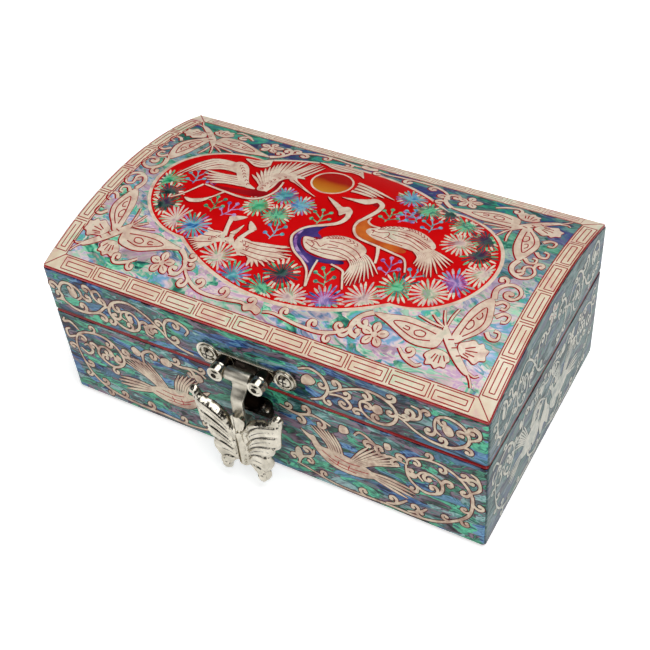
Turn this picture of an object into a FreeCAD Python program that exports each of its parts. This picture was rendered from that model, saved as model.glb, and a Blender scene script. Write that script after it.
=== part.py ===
import FreeCAD, Part
import math
import os

from FreeCAD import Vector

# Lacquered jewellery box with an arched lid hinged at the back and a butterfly clasp in front.
# Millimetres. X runs along the front, the front faces -Y and Z is up.
# The origin is the middle of the felt underside.

# Box outside, measured over the shell veneer
BOX_W = 210.0
BOX_D = 125.0
PARTING_Z = 52.0
LID_SIDE_H = 25.6
ARCH_RISE = 11.4
CORNER_R = 1.6
PARTING_GAP = 0.3

# Boards, skins and the lacquered edges that stay bare beside the veneer
WALL_T = 6.5
BOTTOM_T = 5.0
LID_TOP_T = 4.5
VENEER_T = 0.4
FELT_T = 0.8
FELT_INSET = 4.0
EDGE_LINE_W = 0.9
PARTING_LINE_W = 1.2
PARTING_CHAMFER = 0.5
FOOT_R = 1.2
VENEER_SEAM = 0.1
OVERRUN = 5.0

# Inlay sheets of the lid top
BORDER_W = 7.2
GLUE_T = 0.06
CARTOUCHE_LEFT_MARGIN = 12.4
CARTOUCHE_RIGHT_MARGIN = 16.4
CARTOUCHE_BACK_MARGIN = 5.4
CARTOUCHE_FRONT_MARGIN = 8.4
CARTOUCHE_RIM_W = 1.6
UPPER_CUSP_SHARES = (0.56, 0.68)
LOWER_CUSP_SHARES = (0.61, 0.65)
SUN_PLACE_SHARES = (-0.109, 0.62)
SUN_R = 8.9
SUN_RING_W = 0.9

# Velvet lining, bays and mirror
LINING_T = 1.6
LINING_DROP = 1.0
FLOOR_PAD_T = 2.0
DIVIDER_T = 3.0
DIVIDER_H = 26.0
RING_BAY_W = 62.0
FRONT_BAY_D = 60.0
ROLL_COUNT = 5
ROLL_H = 20.0
ROLL_GAP = 0.6
ROLL_END_SLOPE = 4.0
ROLL_FOOT_SHARE = 0.84
ROLL_SHOULDER_SHARES = (0.92, 0.62)
ROLL_BELLY_SHARE = 0.35
LID_RECESS = 14.0
LID_LINING_T = 1.8
MIRROR_MARGIN = 20.0
MIRROR_T = 2.0
MIRROR_BEVEL = 0.8

# Stop hinges at the back: the heel of the lid leaf meets the back wall when the lid is open
HINGE_INSET = 43.0
HINGE_L = 28.0
KNUCKLES = 3
KNUCKLE_R = 1.8
KNUCKLE_GAP = 0.25
HINGE_CLEARANCE = 0.3
HINGE_PIN_R = 0.8
HINGE_PIN_CLEARANCE = 0.05
LEAF_T = 1.0
LEAF_REACH = 4.6
LEAF_FIT = 0.05
HEEL_L = 4.2
HEEL_T = 1.0
HEEL_CLEARANCE = 0.1
LID_OPEN_DEG = 95.0
HINGE_SCREW_SPACING = 16.0
HINGE_SCREW_R = 0.7
HINGE_SCREW_HEAD_R = 1.4
HINGE_SCREW_HEAD_H = 0.7
HINGE_SCREW_L = 6.0

# Latch plate on the lid front, with two lugs that carry the clasp pin
LATCH_X = -1.5
LATCH_RISE = 9.5
PLATE_T = 1.2
PLATE_END_R = 5.6
PLATE_BAND_H = 7.4
PLATE_SCREW_SPACING = 37.0
LUG_SPACING = 19.3
LUG_R = 3.6
LUG_DROP = 0.8
LUG_HOLE_R = 1.0
LUG_HOLE_DEPTH = 1.6
PIVOT_OUT = 6.4
CLASP_PIN_R = 1.0
CLASP_PIN_SEAT = 3.0
CLASP_PIN_CLEARANCE = 0.06
SCREW_R = 1.1
SCREW_L = 5.0
SCREW_HEAD_R = 2.9
SCREW_RIM_H = 0.6
SCREW_HEAD_H = 1.3
SCREW_CROWN_SHARE = 0.6
SCREW_SIDES = 12

# Clasp: a sleeve on the pin, a neck that bends forward and a hook behind the butterfly
SLEEVE_R = 2.9
SLEEVE_GAP = 0.3
TONGUE_T = 1.6
TONGUE_W = 5.6
TONGUE_ROOT_SHARE = 0.66
TONGUE_WAIST_SHARE = 0.3
NECK_START = 4.0
NECK_DROP = 8.5
HOOK_DROP = 23.6
HOOK_T = 2.5
HOOK_CLEARANCE = 0.6

# Butterfly casting, as half of its outline and as shares of its half width and height
BUTTERFLY_W = 44.0
BUTTERFLY_H = 46.4
BUTTERFLY_DROP = 9.5
BUTTERFLY_OUT = 11.2
WING_EDGE_T = 1.7
WING_DOME = 1.6
WING_DOME_SHARE = 0.44
FLUTE_W = 1.5
BODY_HALF_W = 2.0
BODY_T = 4.3
BODY_ROUND_R = 3.3
BODY_SHARES = (0.13, 0.68)
HEAD_HALF_W = 3.6
HEAD_T = 2.8
HEAD_ROUND_R = 6.0
HEAD_SHARES = (0.60, 0.765, 0.83)
HEAD_JAW_SHARE = 0.8
WING_ARC_SHARES = (
    ((0.0, 0.63), (0.11, 0.67), (0.20, 0.74)),
    ((0.20, 0.74), (0.38, 0.845), (0.62, 0.885)),
    ((0.62, 0.885), (0.72, 0.91), (0.80, 0.965)),
    ((0.80, 0.965), (0.92, 1.0), (1.0, 0.92)),
    ((1.0, 0.92), (0.93, 0.76), (0.90, 0.60)),
    ((0.90, 0.60), (0.83, 0.545), (0.74, 0.525)),
    ((0.74, 0.525), (0.72, 0.45), (0.62, 0.40)),
    ((0.62, 0.40), (0.665, 0.29), (0.53, 0.17)),
    ((0.53, 0.17), (0.54, 0.06), (0.35, 0.0)),
    ((0.35, 0.0), (0.26, 0.11), (0.11, 0.19)),
    ((0.11, 0.19), (0.07, 0.13), (0.0, 0.11)),
)
FLUTE_SHARES = (
    ((0.15, 0.57), (0.40, 0.76), (0.84, 0.86)),
    ((0.14, 0.46), (0.42, 0.635), (0.82, 0.72)),
    ((0.14, 0.37), (0.40, 0.51), (0.74, 0.57)),
    ((0.14, 0.28), (0.32, 0.375), (0.56, 0.40)),
    ((0.20, 0.21), (0.32, 0.22), (0.45, 0.15)),
)

# Catch plate on the base front, with the keeper that the hook slides under
CATCH_W = 20.0
CATCH_H = 12.0
CATCH_T = 1.0
CATCH_CORNER_R = 3.0
CATCH_SCREW_SPACING = 13.6
CATCH_SCREW_HEAD_R = 1.9
CATCH_SCREW_R = 0.8
KEEPER_W = 8.0
KEEPER_OUT = 5.0
KEEPER_T = 2.2
KEEPER_GAP = 0.5
KEEPER_NOSE_R = 0.9

# Places worked out from the sizes above
HALF_W = BOX_W / 2
HALF_D = BOX_D / 2
CORE_W = HALF_W - VENEER_T
CORE_D = HALF_D - VENEER_T
INSIDE_W = CORE_W - WALL_T
INSIDE_D = CORE_D - WALL_T
BASE_RIM = PARTING_Z - PARTING_GAP / 2
LID_RIM = PARTING_Z + PARTING_GAP / 2
TOP_Z = PARTING_Z + LID_SIDE_H + ARCH_RISE
ARCH_R = (HALF_D ** 2 + ARCH_RISE ** 2) / (2 * ARCH_RISE)
ARCH_Z = TOP_Z - ARCH_R
FLOOR_Z = FELT_T + BOTTOM_T
BAY_FLOOR_Z = FLOOR_Z + FLOOR_PAD_T
BAY_W = INSIDE_W - LINING_T
BAY_D = INSIDE_D - LINING_T
DIVIDER_X = BAY_W - RING_BAY_W - DIVIDER_T
FIELD_W = HALF_W - EDGE_LINE_W - BORDER_W
FIELD_D = HALF_D - EDGE_LINE_W - BORDER_W
CARTOUCHE_HALF_W = FIELD_W - (CARTOUCHE_LEFT_MARGIN + CARTOUCHE_RIGHT_MARGIN) / 2
CARTOUCHE_X = (CARTOUCHE_LEFT_MARGIN - CARTOUCHE_RIGHT_MARGIN) / 2
CARTOUCHE_UP = FIELD_D - CARTOUCHE_BACK_MARGIN
CARTOUCHE_DOWN = FIELD_D - CARTOUCHE_FRONT_MARGIN
SUN_X = CARTOUCHE_X + CARTOUCHE_HALF_W * SUN_PLACE_SHARES[0]
SUN_Y = CARTOUCHE_UP * SUN_PLACE_SHARES[1]
HINGE_X = HALF_W - HINGE_INSET
HINGE_Y = HALF_D + HINGE_CLEARANCE + KNUCKLE_R
LATCH_Z = PARTING_Z + LATCH_RISE
PIVOT_Y = -HALF_D - PIVOT_OUT
PIVOT_Z = LATCH_Z - LUG_DROP
CLASP_PIN_HALF = LUG_SPACING / 2 - LUG_R + CLASP_PIN_SEAT
BUTTERFLY_TOP = PIVOT_Z - BUTTERFLY_DROP
BUTTERFLY_BACK_Y = -HALF_D - BUTTERFLY_OUT
HOOK_Z = PIVOT_Z - HOOK_DROP
KEEPER_Z = HOOK_Z + KEEPER_GAP
SIDES = ("front", "back", "left", "right")


def block(x0, x1, y0, y1, z0, z1):
    """A box between two opposite corners."""
    return Part.makeBox(x1 - x0, y1 - y0, z1 - z0, Vector(x0, y0, z0))


def flat_face(corners):
    """A flat face over a closed row of corners."""
    return Part.Face(Part.makePolygon(corners + corners[:1]))


def prism(points, z0, z1):
    """An upright prism over a plan polygon."""
    return flat_face([Vector(x, y, z0) for x, y in points]).extrude(Vector(0, 0, z1 - z0))


def rod(radius, start, end):
    """A round bar between two points."""
    axis = end - start
    return Part.makeCylinder(radius, axis.Length, start, axis)


def level_edges(shape, z):
    """The edges of a shape that lie flat at one height."""
    return [edge for edge in shape.Edges
            if all(abs(corner.Z - z) < Part.Precision.confusion() for corner in edge.Vertexes)]


def edges_along(shape, axis):
    """The straight edges of a block that run along one axis."""
    return [edge for edge in shape.Edges
            if abs(edge.tangentAt(edge.FirstParameter).dot(axis)) > 1 - Part.Precision.angular()]


def rounded_block(half_w, half_d, radius, z0, z1):
    """A box with its four upright edges rounded."""
    body = block(-half_w, half_w, -half_d, half_d, z0, z1)
    return body.makeFillet(radius, edges_along(body, Vector(0, 0, 1)))


def under_arch(inset, half_w, half_d, z0):
    """Everything under the lid's arch, set in by an even inset, above one height."""
    radius = ARCH_R - inset
    side_z = ARCH_Z + math.sqrt(radius ** 2 - half_d ** 2)
    foot_front = Vector(-half_w, -half_d, z0)
    foot_back = Vector(-half_w, half_d, z0)
    front = Vector(-half_w, -half_d, side_z)
    back = Vector(-half_w, half_d, side_z)
    crown = Vector(-half_w, 0, ARCH_Z + radius)
    outline = [
        Part.makeLine(foot_front, foot_back),
        Part.makeLine(foot_back, back),
        Part.Arc(back, crown, front).toShape(),
        Part.makeLine(front, foot_front),
    ]
    return Part.Face(Part.Wire(outline)).extrude(Vector(2 * half_w, 0, 0))


def mitre_wedge(side, gap):
    """The plan region of one side, between mitres at the corners, a gap back from them."""
    out = OVERRUN
    depth = WALL_T + OVERRUN
    wide, deep = CORE_W - gap, CORE_D
    if side in ("left", "right"):
        wide, deep = CORE_W, CORE_D - gap
    sign = -1 if side in ("front", "left") else 1
    if side in ("front", "back"):
        points = [
            (-wide - out, sign * (deep + out)),
            (wide + out, sign * (deep + out)),
            (wide - depth, sign * (deep - depth)),
            (depth - wide, sign * (deep - depth)),
        ]
    else:
        points = [
            (sign * (wide + out), -deep - out),
            (sign * (wide + out), deep + out),
            (sign * (wide - depth), deep - depth),
            (sign * (wide - depth), depth - deep),
        ]
    return prism(points, -OVERRUN, TOP_Z + OVERRUN)


def four_sides(shell, name, gap=0):
    """A shell cut at its corner mitres into its four sides."""
    return {name.format(side): shell.common(mitre_wedge(side, gap)) for side in SIDES}


def base_boards():
    """The four mitred walls, the bottom board between them and the felt under it."""
    core = rounded_block(CORE_W, CORE_D, CORNER_R - VENEER_T, FELT_T, BASE_RIM)
    core = core.makeChamfer(PARTING_CHAMFER, level_edges(core, BASE_RIM))
    core = core.makeFillet(FOOT_R, level_edges(core, FELT_T))
    hollow = block(-INSIDE_W, INSIDE_W, -INSIDE_D, INSIDE_D, -OVERRUN, PARTING_Z + OVERRUN)
    nodes = four_sides(core.cut(hollow), "base_{}_board")
    nodes["base_bottom_board"] = block(-INSIDE_W, INSIDE_W, -INSIDE_D, INSIDE_D, FELT_T, FLOOR_Z)
    felt_w, felt_d = CORE_W - FELT_INSET, CORE_D - FELT_INSET
    nodes["base_felt"] = block(-felt_w, felt_w, -felt_d, felt_d, 0, FELT_T)
    return nodes


def base_veneers():
    """Shell veneer on the four base walls, short of the lacquered edges."""
    low = FELT_T + FOOT_R
    high = BASE_RIM - PARTING_LINE_W
    skin = rounded_block(HALF_W, HALF_D, CORNER_R, low, high)
    core = rounded_block(CORE_W, CORE_D, CORNER_R - VENEER_T, low - OVERRUN, high + OVERRUN)
    return four_sides(skin.cut(core), "base_{}_veneer", VENEER_SEAM)


def lid_core():
    """The lid as one lacquered block under the arch."""
    plan = rounded_block(CORE_W, CORE_D, CORNER_R - VENEER_T, LID_RIM, TOP_Z + OVERRUN)
    core = under_arch(VENEER_T, CORE_W + OVERRUN, CORE_D + OVERRUN, LID_RIM).common(plan)
    return core.makeChamfer(PARTING_CHAMFER, level_edges(core, LID_RIM))


def lid_boards():
    """The arched top board and the four mitred lid walls under it."""
    core = lid_core()
    under_top = under_arch(VENEER_T + LID_TOP_T, CORE_W + OVERRUN, CORE_D + OVERRUN, LID_RIM)
    hollow = block(-INSIDE_W, INSIDE_W, -INSIDE_D, INSIDE_D, PARTING_Z - OVERRUN, TOP_Z + OVERRUN)
    nodes = four_sides(core.common(under_top).cut(hollow), "lid_{}_board")
    nodes["lid_top_board"] = core.cut(under_top)
    return nodes


def lid_veneers():
    """Shell veneer on the four lid walls, up to the lacquered line under the arch."""
    low = LID_RIM + EDGE_LINE_W
    skin = rounded_block(HALF_W, HALF_D, CORNER_R, low, TOP_Z)
    core = rounded_block(CORE_W, CORE_D, CORNER_R - VENEER_T, low - OVERRUN, TOP_Z + OVERRUN)
    below_line = under_arch(VENEER_T + EDGE_LINE_W, HALF_W + OVERRUN, HALF_D + OVERRUN, LID_RIM)
    return four_sides(skin.cut(core).common(below_line), "lid_{}_veneer", VENEER_SEAM)


def cartouche(inset):
    """An upright prism over the four-lobed cartouche, set in from its outline."""
    wide, up, down = CARTOUCHE_HALF_W - inset, CARTOUCHE_UP - inset, CARTOUCHE_DOWN - inset
    upper = (wide * UPPER_CUSP_SHARES[0], up * UPPER_CUSP_SHARES[1])
    lower = (wide * LOWER_CUSP_SHARES[0], -down * LOWER_CUSP_SHARES[1])

    def at(x, y):
        return Vector(CARTOUCHE_X + x, y, PARTING_Z)

    lobes = [
        Part.Arc(at(-upper[0], upper[1]), at(0, up), at(*upper)),
        Part.Arc(at(*upper), at(wide, 0), at(*lower)),
        Part.Arc(at(*lower), at(0, -down), at(-lower[0], lower[1])),
        Part.Arc(at(-lower[0], lower[1]), at(-wide, 0), at(-upper[0], upper[1])),
    ]
    face = Part.Face(Part.Wire([lobe.toShape() for lobe in lobes]))
    return face.extrude(Vector(0, 0, TOP_Z + OVERRUN - PARTING_Z))


def lid_inlays():
    """The thin sheets of the lid top: border, field, cartouche and sun."""
    wide, deep = HALF_W - EDGE_LINE_W, HALF_D - EDGE_LINE_W
    sheet = under_arch(0, wide, deep, LID_RIM)
    sheet_t = VENEER_T - GLUE_T
    sheet = sheet.cut(under_arch(sheet_t, HALF_W + OVERRUN, HALF_D + OVERRUN, PARTING_Z - OVERRUN))
    field = block(-FIELD_W, FIELD_W, -FIELD_D, FIELD_D, PARTING_Z, TOP_Z + OVERRUN)
    nodes = {}
    for side in SIDES:
        nodes["lid_border_" + side] = sheet.cut(field).common(border_wedge(side, wide, deep))
    sun_foot = Vector(SUN_X, SUN_Y, PARTING_Z)
    up = Vector(0, 0, TOP_Z - PARTING_Z + OVERRUN)
    sun = rod(SUN_R, sun_foot, sun_foot + up)
    sun_outside = rod(SUN_R + SUN_RING_W, sun_foot, sun_foot + up)
    outer, inner = cartouche(0), cartouche(CARTOUCHE_RIM_W)
    nodes["lid_shell_field"] = sheet.common(field).cut(outer)
    nodes["cartouche_rim"] = sheet.common(outer).cut(inner)
    nodes["cartouche_panel"] = sheet.common(inner).cut(sun_outside)
    nodes["sun_ring"] = sheet.common(sun_outside).cut(sun)
    nodes["sun_disc"] = sheet.common(sun)
    return nodes


def border_wedge(side, wide, deep):
    """The plan region of one border strip, with mitred ends."""
    reach = BORDER_W + OVERRUN
    sign = -1 if side in ("front", "left") else 1
    if side in ("front", "back"):
        points = [(-wide, sign * deep), (wide, sign * deep), (wide - reach, sign * (deep - reach)),
                  (reach - wide, sign * (deep - reach))]
    else:
        points = [(sign * wide, -deep), (sign * wide, deep), (sign * (wide - reach), deep - reach),
                  (sign * (wide - reach), reach - deep)]
    return prism(points, PARTING_Z, TOP_Z + OVERRUN)


def base_lining():
    """Velvet-covered boards on the inside walls and floor, and the bay dividers."""
    top = BASE_RIM - LINING_DROP
    bay_top = BAY_FLOOR_Z + DIVIDER_H
    cross_y = FRONT_BAY_D - BAY_D
    return {
        "lining_front": block(-INSIDE_W, INSIDE_W, -INSIDE_D, -BAY_D, FLOOR_Z, top),
        "lining_back": block(-INSIDE_W, INSIDE_W, BAY_D, INSIDE_D, FLOOR_Z, top),
        "lining_left": block(-INSIDE_W, -BAY_W, -BAY_D, BAY_D, FLOOR_Z, top),
        "lining_right": block(BAY_W, INSIDE_W, -BAY_D, BAY_D, FLOOR_Z, top),
        "lining_floor": block(-BAY_W, BAY_W, -BAY_D, BAY_D, FLOOR_Z, BAY_FLOOR_Z),
        "divider_long": block(DIVIDER_X, DIVIDER_X + DIVIDER_T, -BAY_D, BAY_D, BAY_FLOOR_Z, bay_top),
        "divider_cross": block(-BAY_W, DIVIDER_X, cross_y, cross_y + DIVIDER_T, BAY_FLOOR_Z, bay_top),
    }


def roll_section(x, y, half_w):
    """One closed section of a ring roll: flat foot, drawn-in sides and a round crown."""
    foot = half_w * ROLL_FOOT_SHARE
    belly_z = BAY_FLOOR_Z + ROLL_H * ROLL_BELLY_SHARE
    shoulder = half_w * ROLL_SHOULDER_SHARES[0]
    shoulder_z = BAY_FLOOR_Z + ROLL_H * ROLL_SHOULDER_SHARES[1]
    right_foot = Vector(x + foot, y, BAY_FLOOR_Z)
    left_foot = Vector(x - foot, y, BAY_FLOOR_Z)
    right = Vector(x + shoulder, y, shoulder_z)
    left = Vector(x - shoulder, y, shoulder_z)
    return Part.Wire([
        Part.makeLine(left_foot, right_foot),
        Part.Arc(right_foot, Vector(x + half_w, y, belly_z), right).toShape(),
        Part.Arc(right, Vector(x, y, BAY_FLOOR_Z + ROLL_H), left).toShape(),
        Part.Arc(left, Vector(x - half_w, y, belly_z), left_foot).toShape(),
    ])


def roll_side_view(half_length):
    """The side view of the rolls: upright ends that lean in towards the crown."""
    shoulder_z = BAY_FLOOR_Z + ROLL_H * ROLL_SHOULDER_SHARES[1]
    top_z = BAY_FLOOR_Z + ROLL_H + OVERRUN
    lean = ROLL_END_SLOPE * (top_z - shoulder_z) / (BAY_FLOOR_Z + ROLL_H - shoulder_z)
    points = [(-half_length, BAY_FLOOR_Z), (half_length, BAY_FLOOR_Z), (half_length, shoulder_z),
              (half_length - lean, top_z), (lean - half_length, top_z), (-half_length, shoulder_z)]
    return flat_face([Vector(-HALF_W, y, z) for y, z in points]).extrude(Vector(BOX_W, 0, 0))


def ring_rolls():
    """Padded rolls side by side in the ring bay."""
    pitch = RING_BAY_W / ROLL_COUNT
    half_w = (pitch - ROLL_GAP) / 2
    half_length = BAY_D - ROLL_GAP / 2
    nodes = {}
    for index in range(ROLL_COUNT):
        x = DIVIDER_X + DIVIDER_T + pitch * (index + 0.5)
        roll = Part.Face(roll_section(x, -half_length, half_w)).extrude(Vector(0, 2 * half_length, 0))
        nodes["ring_roll_{}".format(index + 1)] = roll.common(roll_side_view(half_length))
    return nodes


def lid_lining():
    """The velvet tray inside the lid and the bevelled mirror glued into it."""
    tray_z = LID_RIM + LID_RECESS
    inner_w, inner_d = INSIDE_W - LID_LINING_T, INSIDE_D - LID_LINING_T
    tray = block(-INSIDE_W, INSIDE_W, -INSIDE_D, INSIDE_D, LID_RIM + LINING_DROP, tray_z + LID_LINING_T)
    tray = tray.cut(block(-inner_w, inner_w, -inner_d, inner_d, PARTING_Z - OVERRUN, tray_z))
    glass_w, glass_d = inner_w - MIRROR_MARGIN, inner_d - MIRROR_MARGIN
    mirror = block(-glass_w, glass_w, -glass_d, glass_d, tray_z - MIRROR_T, tray_z)
    mirror = mirror.makeChamfer(MIRROR_BEVEL, level_edges(mirror, tray_z - MIRROR_T))
    return {"lid_lining": tray, "mirror": mirror}


def hinge_rod(radius, x0, x1):
    """A round bar on the hinge axis."""
    return rod(radius, Vector(x0, HINGE_Y, PARTING_Z), Vector(x1, HINGE_Y, PARTING_Z))


def hinge_leaf(x_mid, on_lid):
    """One hinge leaf with its own knuckles; the lid leaf also has the stop heels."""
    x0, x1 = x_mid - HINGE_L / 2, x_mid + HINGE_L / 2
    pitch = HINGE_L / KNUCKLES
    z0 = LID_RIM if on_lid else BASE_RIM - LEAF_T
    leaf = block(x0, x1, HALF_D - LEAF_REACH, HINGE_Y, z0, z0 + LEAF_T)
    open_turn = math.radians(LID_OPEN_DEG)
    heel_gap = HINGE_Y - HALF_D - HEEL_CLEARANCE
    heel_z = PARTING_Z - (heel_gap + HEEL_L * math.cos(open_turn)) / math.sin(open_turn)
    for index in range(KNUCKLES):
        start, end = x0 + pitch * index, x0 + pitch * (index + 1)
        if (index % 2 == 1) == on_lid:
            start, end = start + KNUCKLE_GAP / 2, end - KNUCKLE_GAP / 2
            leaf = leaf.fuse(hinge_rod(KNUCKLE_R, start, end))
            if on_lid:
                leaf = leaf.fuse(block(start, end, HINGE_Y, HINGE_Y + HEEL_L, heel_z, heel_z + HEEL_T))
        else:
            start, end = start - KNUCKLE_GAP / 2, end + KNUCKLE_GAP / 2
            relief = (HALF_D - KNUCKLE_GAP, HINGE_Y + OVERRUN, z0 - OVERRUN, z0 + OVERRUN)
            leaf = leaf.cut(block(start, end, *relief))
    return leaf.cut(hinge_rod(HINGE_PIN_R + HINGE_PIN_CLEARANCE, x0 - OVERRUN, x1 + OVERRUN)).removeSplitter()


def leaf_mortise(x_mid, on_lid):
    """The shallow seat of a hinge leaf in the edge of a back wall."""
    half = HINGE_L / 2 + LEAF_FIT
    z0 = PARTING_Z if on_lid else BASE_RIM - LEAF_T
    z1 = LID_RIM + LEAF_T if on_lid else PARTING_Z
    return block(x_mid - half, x_mid + half, HALF_D - LEAF_REACH - LEAF_FIT, HALF_D + OVERRUN, z0, z1)


def screw(outline, seat, axis):
    """A many-sided screw through (radius, height above its seat) sections, standing on a seat along an axis."""
    turns = [2 * math.pi * index / SCREW_SIDES for index in range(SCREW_SIDES)]
    rings = []
    for radius, height in outline:
        rings.append([Vector(radius * math.cos(turn), radius * math.sin(turn), height) for turn in turns])
    faces = [flat_face(rings[0]), flat_face(rings[-1])]
    for low, high in zip(rings, rings[1:]):
        for index in range(SCREW_SIDES):
            faces.append(flat_face([low[index - 1], low[index], high[index], high[index - 1]]))
    body = Part.Solid(Part.Shell(faces)).removeSplitter()
    body.Placement = FreeCAD.Placement(seat, FreeCAD.Rotation(Vector(0, 0, 1), axis))
    return body


def countersunk_screws(on_lid):
    """The countersunk screws of both leaves on one wall."""
    outline = [(HINGE_SCREW_R, -HINGE_SCREW_L), (HINGE_SCREW_R, -HINGE_SCREW_HEAD_H), (HINGE_SCREW_HEAD_R, 0)]
    rim = LID_RIM if on_lid else BASE_RIM
    axis = Vector(0, 0, -1 if on_lid else 1)
    screws = []
    for x_mid in (-HINGE_X, HINGE_X):
        for offset in (-HINGE_SCREW_SPACING / 2, HINGE_SCREW_SPACING / 2):
            seat = Vector(x_mid + offset, HALF_D - LEAF_REACH / 2, rim)
            screws.append(screw(outline, seat, axis))
    return screws


def fit_hinges(nodes):
    """Two stop hinges let into the back walls."""
    for on_lid, wall in ((False, "base"), (True, "lid")):
        screws = countersunk_screws(on_lid)
        cutters = list(screws)
        for name, x_mid in (("left", -HINGE_X), ("right", HINGE_X)):
            leaf = "hinge_{}_{}_leaf".format(name, wall)
            nodes[leaf] = hinge_leaf(x_mid, on_lid)
            cut_all(nodes, leaf, screws)
            cutters.append(leaf_mortise(x_mid, on_lid))
        for skin in ("board", "veneer"):
            cut_all(nodes, "{}_back_{}".format(wall, skin), cutters)
        nodes["hinge_{}_screws".format(wall)] = Part.makeCompound(screws)
    for name, x_mid in (("left", -HINGE_X), ("right", HINGE_X)):
        nodes["hinge_{}_pin".format(name)] = hinge_rod(HINGE_PIN_R, x_mid - HINGE_L / 2, x_mid + HINGE_L / 2)


def cut_all(nodes, name, cutters):
    """Cut one node by a list of shapes."""
    for cutter in cutters:
        nodes[name] = nodes[name].cut(cutter)


def pan_screw(x, z, seat, head_r, shank_r):
    """A pan-head screw whose head sits a distance out of the front."""
    outline = [(shank_r, -SCREW_L), (shank_r, 0), (head_r, 0), (head_r, SCREW_RIM_H),
               (head_r * SCREW_CROWN_SHARE, SCREW_HEAD_H)]
    return screw(outline, Vector(x, -HALF_D - seat, z), Vector(0, -1, 0))


def lug(x):
    """One lug: a round finger with a small blind hole in its tip."""
    wall = Vector(x, -HALF_D, PIVOT_Z)
    tip = wall - Vector(0, PIVOT_OUT + LUG_R, 0)
    return rod(LUG_R, wall, tip).cut(rod(LUG_HOLE_R, tip, tip + Vector(0, LUG_HOLE_DEPTH, 0)))


def latch_plate():
    """The dumb-bell plate on the lid front with its two lugs."""
    half = PLATE_SCREW_SPACING / 2
    face_y = -HALF_D - PLATE_T
    plate = block(LATCH_X - half, LATCH_X + half, face_y, -HALF_D, LATCH_Z - PLATE_BAND_H / 2,
                  LATCH_Z + PLATE_BAND_H / 2)
    for x in (LATCH_X - half, LATCH_X + half):
        plate = plate.fuse(rod(PLATE_END_R, Vector(x, -HALF_D, LATCH_Z), Vector(x, face_y, LATCH_Z)))
    for x in (LATCH_X - LUG_SPACING / 2, LATCH_X + LUG_SPACING / 2):
        plate = plate.fuse(lug(x))
    return plate.cut(clasp_rod(CLASP_PIN_R, CLASP_PIN_HALF)).removeSplitter()


def clasp_rod(radius, half_length):
    """A round bar on the clasp axis."""
    middle = Vector(LATCH_X, PIVOT_Y, PIVOT_Z)
    reach = Vector(half_length, 0, 0)
    return rod(radius, middle - reach, middle + reach)


def fit_latch(nodes):
    """The latch plate, its screws and the clasp pin on the lid front."""
    screws = []
    for x in (LATCH_X - PLATE_SCREW_SPACING / 2, LATCH_X + PLATE_SCREW_SPACING / 2):
        screws.append(pan_screw(x, LATCH_Z, PLATE_T, SCREW_HEAD_R, SCREW_R))
    nodes["latch_plate"] = latch_plate()
    nodes["latch_screws"] = Part.makeCompound(screws)
    nodes["clasp_pin"] = clasp_rod(CLASP_PIN_R, CLASP_PIN_HALF)
    for name in ("latch_plate", "lid_front_board", "lid_front_veneer"):
        cut_all(nodes, name, screws)


def fit_catch(nodes):
    """The catch plate, its keeper and its screws on the base front."""
    face_y = -HALF_D - CATCH_T
    middle = KEEPER_Z + KEEPER_T / 2
    plate = block(LATCH_X - CATCH_W / 2, LATCH_X + CATCH_W / 2, face_y, -HALF_D, middle - CATCH_H / 2,
                  middle + CATCH_H / 2)
    plate = plate.makeFillet(CATCH_CORNER_R, edges_along(plate, Vector(0, 1, 0)))
    nose_y = -HALF_D - KEEPER_OUT
    keeper = block(LATCH_X - KEEPER_W / 2, LATCH_X + KEEPER_W / 2, nose_y, face_y, KEEPER_Z,
                   KEEPER_Z + KEEPER_T)
    half_out = (nose_y + face_y) / 2
    nose = [edge for edge in edges_along(keeper, Vector(1, 0, 0)) if edge.CenterOfMass.y < half_out]
    plate = plate.fuse(keeper.makeFillet(KEEPER_NOSE_R, nose))
    screws = []
    for x in (LATCH_X - CATCH_SCREW_SPACING / 2, LATCH_X + CATCH_SCREW_SPACING / 2):
        screws.append(pan_screw(x, middle, CATCH_T, CATCH_SCREW_HEAD_R, CATCH_SCREW_R))
    nodes["catch_plate"] = plate
    nodes["catch_screws"] = Part.makeCompound(screws)
    for name in ("catch_plate", "base_front_board", "base_front_veneer"):
        cut_all(nodes, name, screws)


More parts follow.
